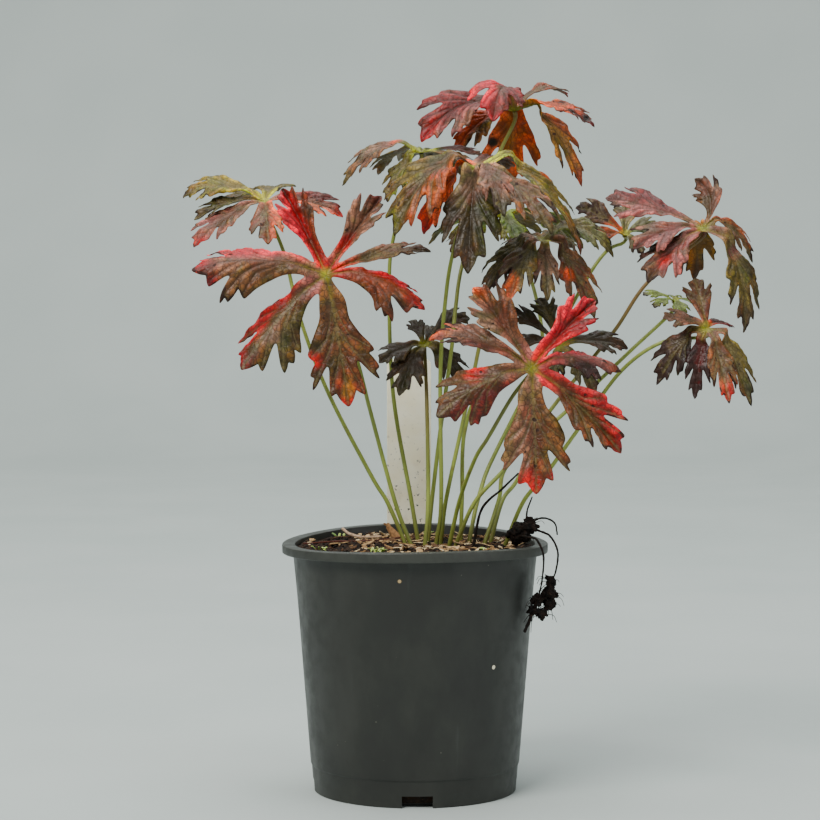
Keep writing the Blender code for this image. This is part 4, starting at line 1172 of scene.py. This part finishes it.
def build_label():
    left = LABEL_CENTRE_X - LABEL_WIDTH / 2
    right = LABEL_CENTRE_X + LABEL_WIDTH / 2
    outline = []
    for centre_x, start in ((right - LABEL_CORNER, 0), (left + LABEL_CORNER, 90)):
        for k in range(9):
            angle = math.radians(start + 90 * k / 8)
            outline.append((centre_x + LABEL_CORNER * math.cos(angle),
                            LABEL_TOP - LABEL_CORNER + LABEL_CORNER * math.sin(angle)))
    shoulder = int(LABEL_POINT + LABEL_SHOULDER)
    outline += [(left, z) for z in range(LABEL_SIDES_TO[0], shoulder, -LABEL_STEP)]
    outline += [(left, shoulder), (LABEL_CENTRE_X - LABEL_TIP, LABEL_POINT),
                (LABEL_CENTRE_X + LABEL_TIP, LABEL_POINT), (right, shoulder)]
    outline += [(right, z) for z in range(shoulder + LABEL_STEP, LABEL_SIDES_TO[1], LABEL_STEP)]
    count = len(outline)
    points = [(x, LABEL_Y + side * LABEL_THICKNESS / 2, z) for side in (-1, 1) for x, z in outline]
    faces = [tuple(range(count)), tuple(range(2 * count - 1, count - 1, -1))]
    faces += [(k, k + count, (k + 1) % count + count, (k + 1) % count) for k in range(count)]
    item = mesh_piece("plant_label", points, faces, label_material(), 40)
    apply_modifier(item, "BEVEL", width=LABEL_BEVEL * MM, segments=2, limit_method="ANGLE")
    attribute(item, "height", [v.co.z / MM for v in item.data.vertices])
    return shown(item, ["label"])


class Ribbon:
    """The curved strip that one lobe lies on, from the hub out along its rib."""

    def __init__(self, hub, normal, lobe):
        tip = Vector((lobe.dx, lobe.dy, lobe.dz))
        lift = Vector(lobe.arch if isinstance(lobe.arch, tuple) else (0, 0, lobe.arch))
        ends = (Vector(), tip * 0.35 + lift, tip * 0.75 + lift, tip)
        self.start = ends[1].normalized()
        self.points = [hub + p for p in geometry.interpolate_bezier(*ends, RIBBON_STEPS + 1)]
        self.length = sum((b - a).length for a, b in zip(self.points, self.points[1:]))
        self.width = lobe.width
        self.lean = math.atan(lobe.fold)
        side = normal.cross(self.start).normalized()
        self.frames = []
        for k, here in enumerate(self.points):
            ahead = self.points[min(k + 1, RIBBON_STEPS)]
            behind = self.points[max(k - 1, 0)]
            tangent = (ahead - behind).normalized()
            side = (side - tangent * side.dot(tangent)).normalized()
            self.frames.append((here, side, tangent.cross(side)))
        if lobe.face:
            self.twist(Vector(lobe.face))

    def twist(self, face):
        """Turn the strip about its rib, so that its outer half faces the given way."""
        end = self.frames[TWIST_START + TWIST_STEPS]
        tangent = end[1].cross(end[2])
        want = (face - tangent * face.dot(tangent)).normalized()
        angle = math.atan2(want.dot(-end[1]), want.dot(end[2]))
        turned_frames = []
        for k, (here, side, up) in enumerate(self.frames):
            share = min(1.0, max(0.0, (k - TWIST_START) / TWIST_STEPS))
            spin = Matrix.Rotation(angle * share * share * (3 - 2 * share), 3, side.cross(up))
            turned_frames.append((here, spin @ side, spin @ up))
        self.frames = turned_frames

    def place(self, along, across):
        stop = min(max(along / self.length, 0.0), 1.0) * RIBBON_STEPS
        k = min(int(stop), RIBBON_STEPS - 1)
        share = stop - k
        centre, side, up = (a.lerp(b, share) for a, b in zip(self.frames[k], self.frames[k + 1]))
        height = math.sin(self.lean) * abs(across) - CURL * across * across / self.length
        return centre + side * across * math.cos(self.lean) + up * height


def crease_points(loop, sharp, spacing):
    """A closed outline through key points, curved between them and cornered at the sharp ones."""
    count = len(loop)
    tangents = [(loop[(k + 1) % count] - loop[k - 1]) * 0.5 for k in range(count)]
    out = []
    for k in range(count):
        a, b = loop[k], loop[(k + 1) % count]
        span = b - a
        bulge = Vector((span.y, -span.x)) * 0.28
        start = span + bulge if sharp[k] else tangents[k]
        end = span - bulge if sharp[(k + 1) % count] else tangents[(k + 1) % count]
        steps = max(2, int(span.length / spacing))
        for s in range(steps):
            t = s / steps
            out.append(a * (2 * t ** 3 - 3 * t ** 2 + 1) + start * (t ** 3 - 2 * t ** 2 + t)
                       + b * (3 * t ** 2 - 2 * t ** 3) + end * (t ** 3 - t ** 2))
    return out


def softened(loop):
    """A closed outline with its corners a little blunt."""
    ahead = loop[1:] + loop[:1]
    return [0.25 * loop[k - 1] + 0.5 * here + 0.25 * ahead[k] for k, here in enumerate(loop)]


# Veins of half a lobe, as places along and across it, with their strength.
VEINS = (
    (((0.0, 0.0), (0.25, 0.0), (0.5, 0.0), (0.75, 0.0), (0.98, 0.0)), 1.0),
    (((0.20, 0.0), (0.34, 0.026), (0.48, 0.080), (0.585, 0.200)), 0.75),
    (((0.37, 0.0), (0.50, 0.045), (0.60, 0.095), (0.66, 0.140), (0.74, 0.185), (0.81, 0.220)),
     0.85),
    (((0.56, 0.0), (0.68, 0.036), (0.79, 0.078), (0.885, 0.112)), 0.65),
    (((0.73, 0.0), (0.83, 0.022), (0.92, 0.045)), 0.5),
    (((0.55, 0.070), (0.60, 0.112), (0.62, 0.160)), 0.4),
    (((0.66, 0.140), (0.71, 0.150), (0.755, 0.168)), 0.4),
    (((0.44, 0.060), (0.49, 0.095), (0.52, 0.145)), 0.35),
    (((0.12, 0.0), (0.22, 0.020), (0.33, 0.050), (0.42, 0.095)), 0.4),
    (((0.47, 0.0), (0.55, 0.022), (0.62, 0.050), (0.655, 0.078)), 0.45),
)


class Blade:
    """A palmate blade: flat polar places are carried onto the lobes' ribbons."""

    def __init__(self, leaf, paints, seed):
        self.rng = random.Random(seed)
        self.seed = seed
        self.full = leaf.full
        self.hub = Vector(leaf.hub)
        self.normal = Vector(leaf.normal).normalized()
        ribbons = [Ribbon(self.hub, self.normal, lobe) for lobe in leaf.lobes]
        order = sorted(range(len(ribbons)), key=lambda k: self.bearing(ribbons[k].start))
        self.ribbons = [ribbons[k] for k in order]
        self.paints = [paints[k] for k in order]
        count = len(ribbons)
        self.half = math.pi / count
        turns = [self.bearing(r.start) for r in self.ribbons]
        spans = [(turns[(k + 1) % count] - turns[k]) % (2 * math.pi) for k in range(count)]
        self.open_at = spans.index(max(spans))

    def bearing(self, direction):
        across = self.normal.cross(Vector((0, 0, 1))).normalized()
        return math.atan2(direction.dot(self.normal.cross(across)), direction.dot(across))

    def sinus(self, k):
        after = (k + 1) % len(self.ribbons)
        share = NOTCH if k == self.open_at else SINUS
        return share * min(self.ribbons[k].length, self.ribbons[after].length)

    def flat(self, k, along, across):
        angle = 2 * self.half * k
        return Vector((along * math.cos(angle) - across * math.sin(angle),
                       along * math.sin(angle) + across * math.cos(angle)))

    def local(self, point):
        """The lobe that a flat place belongs to, and its place along and across that lobe."""
        count = len(self.ribbons)
        turn = math.atan2(point.y, point.x)
        k = int(round(turn / (2 * self.half))) % count
        angle = 2 * self.half * k
        return (k, point.x * math.cos(angle) + point.y * math.sin(angle),
                -point.x * math.sin(angle) + point.y * math.cos(angle))

    def place(self, k, along, across):
        """The place in space of a flat place, given in the frame of lobe k."""
        ribbon = self.ribbons[k]
        reach = math.hypot(along, across)
        if reach < 1e-6:
            return self.hub.copy()
        turn = math.atan2(across, along)
        neighbour = self.ribbons[(k + (1 if turn > 0 else -1)) % len(self.ribbons)]
        share = min(abs(turn) / (2 * self.half), 0.5)
        fan = ribbon.start.slerp(neighbour.start, share) if share > 1e-6 else ribbon.start
        web = self.hub + reach * (fan + self.normal * PLEAT * math.sin(math.pi * share))
        near = SINUS * ribbon.length
        outward = min(1.0, max(0.0, (reach / near - 1.0) / HUB_REACH))
        outward = outward * outward * (3 - 2 * outward)
        return web.lerp(ribbon.place(along, across), outward)

    def outline(self, spacing):
        """The fine outline: the construction's corners, small teeth between and curved sides."""
        keys = []
        sharp = []
        extra = random.Random(self.seed + 500)

        def put(k, along, across, corner):
            keys.append(self.flat(k, along, across))
            sharp.append(corner)

        for k, ribbon in enumerate(self.ribbons):
            size = ribbon.length
            reach = self.sinus((k - 1) % len(self.ribbons))
            put(k, reach * math.cos(self.half), -reach * math.sin(self.half), False)
            for sign in (-1, 1):
                if sign > 0:
                    put(k, size, 0.0, True)
                row = []
                for along, across in MARGIN[::-sign]:
                    outer = float(smoothstep(*WAIST, along))
                    full = self.full * (1 - outer) + outer
                    along += self.rng.uniform(-MARGIN_JITTER, MARGIN_JITTER)
                    across *= full * ribbon.width * self.rng.uniform(*MARGIN_SPREAD)
                    across = min(across, SECTOR_SHARE * along * math.tan(self.half))
                    row.append((along, across))
                row = self.with_teeth(row[::-sign], ribbon.width, extra)
                for along, across, corner in row[::-sign]:
                    put(k, along * size, sign * across * size, corner)
        return softened(crease_points(keys, sharp, spacing))

    @staticmethod
    def with_teeth(row, width, extra):
        """The corners of a margin, with a blunt tooth more on the side finger's outer edge."""
        waist, belly, tooth, notch, finger, inner, crown, crown_in = row
        share = extra.uniform(*TOOTH_SHARE)
        along, across = (a + (b - a) * share for a, b in zip(notch, finger))
        return [(*waist, False), (*belly, False), (*tooth, True), (*notch, True),
                (along + TOOTH_POINT[0], across + TOOTH_POINT[1] * width, True),
                (along + TOOTH_FOOT[0], across + TOOTH_FOOT[1], True),
                (*finger, True), (*inner, False), (*crown, True), (*crown_in, True)]

    def vein_lines(self, k):
        """The veins of a lobe in its own frame, in millimetres."""
        ribbon = self.ribbons[k]
        lines = []
        for number, (places, strength) in enumerate(VEINS):
            for sign in ((1,) if number == 0 else (-1, 1)):
                lines.append(([(a * ribbon.length, sign * b * ribbon.length * ribbon.width)
                               for a, b in places], strength))
        return lines

    def build(self, name, mat, spacing):
        border = np.array([tuple(p) for p in self.outline(OUTLINE_SPACING)])
        flat = [Vector(p) for p in border] + [Vector(p) for p in self.fill_points(border, spacing)]
        ring = list(range(len(border)))
        flat, _, triangles, *_ = geometry.delaunay_2d_cdt(
            flat, list(zip(ring, ring[1:] + ring[:1])), [], 1, 1e-4)
        triangles = [tuple(tri) for tri in triangles]
        away = edge_distance(np.array([tuple(p) for p in flat]), border)
        spots = [self.local(p) for p in flat]
        centre = np.array([self.place(*spot) for spot in spots])
        lobes, along, across = (np.array(column) for column in zip(*spots))
        vein, gap = self.vein_fields(lobes, along, across)
        quilt = 1 - np.exp(-(gap / QUILT_WIDTH) ** 2)
        relief = self.relief(centre, lobes, np.hypot(along, across), away, quilt, vein)
        tri = np.array(triangles)
        centre = centre + vertex_normals(centre, tri) * relief[:, None]
        half = LEAF_THICKNESS / 2 * (0.45 + 0.55 * smoothstep(0.0, 0.8, away))
        skin = vertex_normals(centre, tri) * half[:, None]
        count = len(centre)
        faces = triangles + [(c + count, b + count, a + count) for a, b, c in triangles]
        faces += [(a, a + count, b + count, b) for a, b in rim_edges(triangles)]
        low, high = (np.array(corner) / MM for corner in cad_box)
        both = np.clip(np.vstack([centre + skin, centre - skin]), low + BOX_CLEARANCE,
                       high - BOX_CLEARANCE)
        item = mesh_piece(name, both, faces, mat, 0)
        both_faces(item, "quilt", quilt, 1.0)
        self.colour(item, lobes, along, across, away, vein, centre)
        return item

    def relief(self, centre, lobes, reach, away, quilt, vein):
        """How far the skin stands out of the smooth blade: quilted inside, wavy at the edge."""
        out = QUILT_RELIEF * quilt - VEIN_RELIEF * vein
        out *= smoothstep(0.0, 2.5, away) * smoothstep(2.0, 9.0, reach)
        waves = WAVE_RELIEF * field(centre, 0.14, (self.seed * 9.1, 0, 0))
        crinkle = 1 + BURNT_CRINKLE * np.array([self.paints[k].burn for k in lobes])
        waves += RIPPLE_RELIEF * crinkle * field(centre, 0.42, (0, self.seed * 3.7, 0))
        return out + waves * smoothstep(7.0, 0.5, away) * smoothstep(8.0, 18.0, reach)

    def fill_points(self, border, spacing):
        """Scattered places inside the outline, closer together along the veins."""
        spots = []
        for k in range(len(self.ribbons)):
            for places, strength in self.vein_lines(k):
                for side in ((-1, 0, 1) if strength > STRONG_VEIN else (0,)):
                    row = beside(places, side * VEIN_HALF_BAND)
                    spots += [tuple(self.flat(k, *place)) for place in row]
        low = border.min(axis=0)
        high = border.max(axis=0)
        row_height = spacing * 0.87
        for r in range(int((high[1] - low[1]) / row_height) + 2):
            for c in range(int((high[0] - low[0]) / spacing) + 2):
                spots.append((low[0] + (c + 0.5 * (r % 2)) * spacing + self.rng.uniform(-0.2, 0.2),
                              low[1] + r * row_height + self.rng.uniform(-0.2, 0.2)))
        spots = np.array(spots)
        spots = spots[inside(spots, border)]
        spots = spots[edge_distance(spots, border) > EDGE_CLEARANCE]
        taken = {}
        kept = []
        for x, y in spots:
            key = (int(x // POINT_CELL), int(y // POINT_CELL))
            near = [taken[(i, j)] for i in (key[0] - 1, key[0], key[0] + 1)
                    for j in (key[1] - 1, key[1], key[1] + 1) if (i, j) in taken]
            if all(math.hypot(x - p[0], y - p[1]) > POINT_CLEARANCE for p in near):
                taken[key] = (x, y)
                kept.append((x, y))
        return kept

    def vein_fields(self, lobes, along, across):
        """How much a place lies on a vein, and how far it is from the nearest one."""
        vein = np.zeros(len(lobes))
        gap = np.full(len(lobes), FAR_FROM_VEINS)
        for k in range(len(self.ribbons)):
            chosen = np.nonzero(lobes == k)[0]
            spots = np.stack([along[chosen], across[chosen]], axis=1)
            for places, strength in self.vein_lines(k):
                far = line_distance(spots, np.array(places))
                width = 0.35 + 0.35 * strength
                here = strength * np.exp(-(far / width) ** 2)
                vein[chosen] = np.maximum(vein[chosen], here)
                gap[chosen] = np.minimum(gap[chosen], far / (0.4 + 0.6 * strength))
        return vein, gap

    def colour(self, item, lobes, along, across, away, vein, centre):
        """Tint, scorch and vein for both faces."""
        tint = np.zeros((len(lobes), 3))
        burn = np.zeros(len(lobes))
        rng = random.Random(self.seed + 900)
        drift, patchy, redden = (field(centre, scale, (shift, self.seed * 7.3, 0))
                                 for scale, shift in ((0.11, 0.0), (0.17, 31.0), (0.13, 77.0)))
        for k, (ribbon, paint) in enumerate(zip(self.ribbons, self.paints)):
            chosen = np.nonzero(lobes == k)[0]
            spots = (along[chosen], across[chosen])
            tint[chosen] = lobe_tint(ribbon, paint, spots, drift[chosen])
            burn[chosen] = lobe_burn(ribbon, paint, spots, drift[chosen], away[chosen],
                                     patchy[chosen], rng)
        olive = tint * np.array((0.52, 0.75, 0.45)) + np.array((0.006, 0.010, 0.0))
        tint = blend(tint, olive, 0.8 * smoothstep(0.05, 0.32, patchy))
        warm = tint * np.array((1.35, 0.55, 0.6)) + np.array((0.03, 0.0, 0.0))
        tint = blend(tint, warm, 0.32 * smoothstep(0.10, 0.35, redden))
        reach = np.hypot(along, across)
        tint = blend(tint, hue("lime"), 0.8 * smoothstep(4.6, 1.4, reach))
        length = np.array([self.ribbons[k].length for k in lobes])
        rib = smoothstep(0.75, 0.15, np.abs(across)) * smoothstep(0.42, 0.06, along / length)
        tint = blend(tint, hue("rib"), 0.8 * rib * smoothstep(0.5, 3.0, reach)) * np.array(LIFT)
        pale = np.array([0.9 if self.paints[k].body in PALE_VEINED else 0.12 for k in lobes])
        pale = pale * smoothstep(0.30, 0.75, vein) * (1 - rib)
        tint = blend(tint, hue("pale_vein"), 0.75 * pale)
        # The lower face is lighter and warmer: partly the underside's own colour, partly a painted
        # glow of light shining through the leaf.
        under = tint * np.array((1.1, 1.05, 0.9)) + hue("underside") * 0.10
        attribute(item, "tint", np.vstack([tint, under]), "FLOAT_COLOR")
        both_faces(item, "burn", burn, 0.8)
        both_faces(item, "vein", vein * (1 - rib) * (1 - 0.85 * pale), 0.6)


def lobe_tint(ribbon, paint, spots, drift):
    """The colours of places on a lobe: hub, body and tip, then the margins and the patches."""
    along, across = spots
    u = along / ribbon.length + 0.09 * drift
    v = across / ribbon.length
    colours = blend(hue(paint.hub), hue(paint.body), smoothstep(0.08, 0.36, u))
    colours = blend(colours, hue(paint.tip), smoothstep(0.70, 0.95, u))
    for name, sign in ((paint.plus, 1), (paint.minus, -1)):
        if name:
            share = smoothstep(0.01, 0.10, sign * v + 0.04 * drift)
            colours = blend(colours, hue(name), share * smoothstep(0.08, 0.3, u) * 0.9)
    for patch_u, patch_v, radius, name in paint.patches:
        far = np.hypot(along - patch_u * ribbon.length,
                       across - patch_v * ribbon.length * ribbon.width)
        share = smoothstep(radius * 1.15, radius * 0.35, far + 3.0 * drift)
        colours = blend(colours, hue(name), share)
    return colours


def lobe_burn(ribbon, paint, spots, drift, away, patchy, rng):
    """How scorched places on a lobe are: at its margin, towards its tip and in round spots."""
    along, across = spots
    u = along / ribbon.length + 0.09 * drift
    rim = smoothstep(0.6 + 5.5 * paint.burn, 0.0, away)
    outer = smoothstep(0.35, 0.8, u)
    torn = smoothstep(-0.12, 0.22, patchy + 0.45 * (paint.burn - 0.3))
    burn = rim * (0.25 + 0.75 * outer) * min(1.0, 0.6 + paint.burn) * torn
    burn = np.maximum(burn, smoothstep(0.55, 1.0, u) * paint.burn * 0.55)
    for _ in range(paint.spots):
        su = rng.uniform(0.3, 0.85) * ribbon.length
        sv = rng.uniform(-0.17, 0.17) * ribbon.length * ribbon.width
        radius = rng.uniform(0.3, 0.95)
        far = np.hypot(along - su, across - sv)
        burn = np.maximum(burn, smoothstep(radius * 1.5, radius * 0.7, far))
    return burn


def both_faces(item, name, values, share):
    """A value for the upper face of a blade, and a share of it for the lower one."""
    attribute(item, name, np.concatenate([values, values * share]))


def beside(places, offset):
    """Even places along a line, set off to one side of it."""
    out = []
    for (a0, b0), (a1, b1) in zip(places, places[1:]):
        length = math.hypot(a1 - a0, b1 - b0)
        steps = max(1, int(length / VEIN_SPACING))
        side = (-(b1 - b0) / length * offset, (a1 - a0) / length * offset)
        for s in range(steps):
            t = (s + 0.5) / steps
            out.append((a0 + (a1 - a0) * t + side[0], b0 + (b1 - b0) * t + side[1]))
    return out


def blend(a, b, share):
    return a * (1 - share[:, None]) + b * share[:, None]


def vertex_normals(points, tri):
    a, b, c = points[tri[:, 0]], points[tri[:, 1]], points[tri[:, 2]]
    face = np.cross(b - a, c - a)
    out = np.zeros_like(points)
    for column in range(3):
        np.add.at(out, tri[:, column], face)
    return out / np.maximum(np.linalg.norm(out, axis=1), 1e-12)[:, None]


def rim_edges(triangles):
    """Edges with one triangle only, in that triangle's direction."""
    seen = {}
    for a, b, c in triangles:
        for edge in ((a, b), (b, c), (c, a)):
            seen[edge] = True
    return [(a, b) for a, b in seen if (b, a) not in seen]


def line_distance(spots, line):
    best = np.full(len(spots), 1e9)
    for a, b in zip(line, line[1:]):
        span = b - a
        t = np.clip(((spots - a) @ span) / (span @ span), 0.0, 1.0)
        best = np.minimum(best, np.hypot(*(spots - a - t[:, None] * span).T))
    return best


def edge_distance(spots, border):
    return line_distance(spots, np.vstack([border, border[:1]]))


def inside(spots, border):
    x, y = spots[:, 0], spots[:, 1]
    hit = np.zeros(len(spots), dtype=bool)
    for (x0, y0), (x1, y1) in zip(border, np.roll(border, -1, axis=0)):
        if y0 == y1:
            continue
        crosses = (y0 > y) != (y1 > y)
        hit ^= crosses & (x < (x1 - x0) * (y - y0) / (y1 - y0) + x0)
    return hit


def build_leaves():
    mat = leaf_material()
    for seed, (name, leaf) in enumerate(LEAVES.items()):
        size = max(Vector((lobe.dx, lobe.dy, lobe.dz)).length for lobe in leaf.lobes)
        blade = Blade(leaf, PAINTS[name], seed + 11)
        spacing = LARGE_LEAF_SPACING if size > SMALL_LEAF_SIZE else SMALL_LEAF_SPACING
        item = blade.build("leaf_" + name, mat, spacing)
        shown(item, ["blade_" + name])


def build_stalks():
    mat = stalk_material()
    green, fresh, red, soil = (hue(name) for name in ("stalk", "new_stalk", "red_stalk", "soiled"))
    for seed, (name, leaf) in enumerate(LEAVES.items()):
        x, y, _ = leaf.stalk[0]
        normal = Vector(leaf.normal).normalized()
        top = Vector(leaf.hub) - normal * (LEAF_THICKNESS / 2)
        neck = Vector(leaf.hub) - normal * STALK_NECK
        route = [(x, y, soil_height(x, y) + 1), *leaf.stalk[1:], neck, top]
        path = [Vector((x, y, STEM_FOOT))] + route_points(route, STALK_STEPS)
        radii = []
        tints = []
        for k in range(STALK_STEPS + 1):
            t = k / STALK_STEPS
            radius = STALK_FOOT_RADIUS + (STALK_TOP_RADIUS - STALK_FOOT_RADIUS) * t
            radii.append(radius * (1 + 0.35 * math.exp(-((1 - t) / 0.012) ** 2)))
            wander = 0.5 + 0.5 * noise.noise(Vector((seed * 3.3, k * 0.06, 0)))
            shade = green * (1 - wander) + fresh * wander
            share = REDDISH.get(name, 0.05) * smoothstep(0.25, 0.8, t)
            share += 0.35 * smoothstep(0.96, 1.0, t)
            shade = shade * (1 - share) + red * share
            soiled = 0.55 * smoothstep(0.16, 0.02, t)
            tints += [shade * (1 - soiled) + soil * soiled] * STALK_SIDES
        points, faces = tube_mesh(path, radii, STALK_SIDES, normal, 0.05, seed)
        item = mesh_piece("stalk_" + name, points, faces, mat, 60)
        attribute(item, "tint", np.array(tints), "FLOAT_COLOR")
        shown(item, ["petiole_" + name])


def build_dry_stalk():
    x, y, _ = DEAD_STEM[0]
    path = route_points(((x, y, soil_height(x, y) + 1),) + DEAD_STEM[1:], DEAD_STEM_STEPS)
    path.insert(0, Vector((x, y, STEM_FOOT)))
    radii = [DEAD_STEM_RADIUS * (1 - 0.45 * k / DEAD_STEM_STEPS) for k in range(len(path))]
    points, faces = tube_mesh(path, radii, 9, None, 0.3, 2)
    item = mesh_piece("dry_stalk", points, faces, root_material(), 60)
    shown(item, ["dead_stem"])


def root_lumps(rng):
    """Crumbling lumps of soil and root, grown together into one skin."""
    balls = []
    for x, y, z, radius in ROOT_LUMPS:
        balls.append(((x, y, z), radius * 0.78, 3))
        for _ in range(int(6 + 3 * radius)):
            out = Vector((rng.gauss(0, 1), rng.gauss(0, 1), rng.gauss(0, 1))).normalized()
            size = radius * rng.uniform(0.22, 0.48)
            balls.append((Vector((x, y, z)) + out * (radius * 0.98 - size * 0.55), size, 2))
    item = mesh_piece("lumps", *ball_mesh(balls), None, 0)
    apply_modifier(item, "REMESH", mode="VOXEL", voxel_size=LUMP_VOXEL * MM)
    points = []
    for vertex in item.data.vertices:
        place = vertex.co / MM
        rough = noise.fractal(place * 0.55, 0.8, 2.1, 4)
        crumb = noise.voronoi(place * 0.75)[0][0]
        points.append(place + vertex.normal * (0.75 * rough + 1.3 * (0.42 - crumb)))
    faces = [tuple(face.vertices) for face in item.data.polygons]
    bpy.data.objects.remove(item, do_unlink=True)
    return points, faces


def build_roots():
    """The clump on the rim, its thin roots and the lumps of soil that hang on them."""
    rng = random.Random(5)
    heap = Heap()
    dark = linear("#1c1411")
    heap.add(*root_lumps(rng), dark)
    for k, (route, radius) in enumerate(ROOT_ROUTES):
        count = 12 if len(route) == 2 else 14 * len(route)
        path = route_points(route, count)
        radii = [radius * (1 - 0.35 * s / count) for s in range(count)]
        heap.add(*tube_mesh(path, radii, 8, None, 0.35, k), dark)
    for _ in range(ROOT_HAIRS):
        x, y, z, radius = rng.choice(ROOT_LUMPS)
        out = Vector((rng.gauss(0, 1), rng.gauss(0, 1), rng.gauss(0, 0.8))).normalized()
        start = Vector((x, y, z)) + out * radius * 0.6
        reach = rng.uniform(1.5, 5.0)
        mid = start + out * reach + Vector((0, 0, -0.2 * reach))
        end = mid + out * reach * 0.4 + Vector((0, 0, -rng.uniform(0.2, 0.9) * reach))
        path = route_points((start, mid, end), 8)
        heap.add(*tube_mesh(path, [0.2 * (1 - 0.06 * s) for s in range(8)], 4), dark)
    item = heap.piece("root_clump", root_material(), 0)
    shown(item, ["root_tangle"])


def build_stage():
    """A pale floor that curves up into a backdrop."""
    depth, half, rise, bend = 2700.0, 2600.0, 2600.0, 700.0
    profile = [(-half, 0.0), (depth - bend, 0.0)]
    profile += [(depth - bend + bend * math.sin(a), bend - bend * math.cos(a))
                for a in [math.pi / 2 * k / 10 for k in range(1, 11)]]
    profile.append((depth, rise))
    points = [(x, y, z) for x in (-half, half) for y, z in profile]
    count = len(profile)
    faces = [(k, k + count, k + count + 1, k + 1) for k in range(count - 1)]
    item = mesh_piece("floor", points, faces, floor_material(), 0)


def area_light(name, place, target, size, power, colour):
    light = bpy.data.lights.new(name, "AREA")
    light.shape = "RECTANGLE"
    light.size, light.size_y = size
    light.energy = power
    light.color = colour
    item = bpy.data.objects.new(name, light)
    item.location = Vector(place)
    item.rotation_euler = (Vector(target) - Vector(place)).to_track_quat("-Z", "Y").to_euler()
    bpy.context.collection.objects.link(item)


def build_light():
    """Places and sizes of the lights are in metres."""
    world = bpy.data.worlds.new("studio")
    bpy.context.scene.world = world
    world.use_nodes = True
    sky = world.node_tree.nodes["Background"]
    sky.inputs["Color"].default_value = (0.90, 0.95, 0.94, 1)
    sky.inputs["Strength"].default_value = 0.25
    area_light("key", (-0.9, -1.3, 1.6), (0.0, 0.0, 0.2), (1.2, 0.9), 60, (1.0, 0.98, 0.94))
    area_light("fill", (1.5, -1.1, 0.8), (0.0, 0.0, 0.2), (1.2, 1.2), 13, (0.97, 0.98, 1.0))
    area_light("top", (0.0, 0.2, 1.9), (0.0, 0.05, 0.2), (2.0, 1.4), 39, (1.0, 1.0, 1.0))
    area_light("back", (0.0, 1.7, 2.2), (0.0, 2.7, 0.6), (3.4, 0.8), 46, (1.0, 1.0, 0.98))


def build_camera():
    """The photograph's view: level with the upper leaves, looking slightly down."""
    data = bpy.data.cameras.new("camera")
    data.sensor_width = CAMERA_SENSOR
    data.lens = CAMERA_LENS
    data.clip_end = 20.0
    item = bpy.data.objects.new("camera", data)
    item.location = Vector(CAMERA_PLACE) * MM
    item.rotation_euler = (math.radians(90 + CAMERA_PITCH), 0.0, 0.0)
    bpy.context.collection.objects.link(item)
    bpy.context.scene.camera = item


build_camera()
build_light()
build_stage()
build_pot()
build_soil()
build_label()
build_stalks()
build_dry_stalk()
build_roots()
build_leaves()
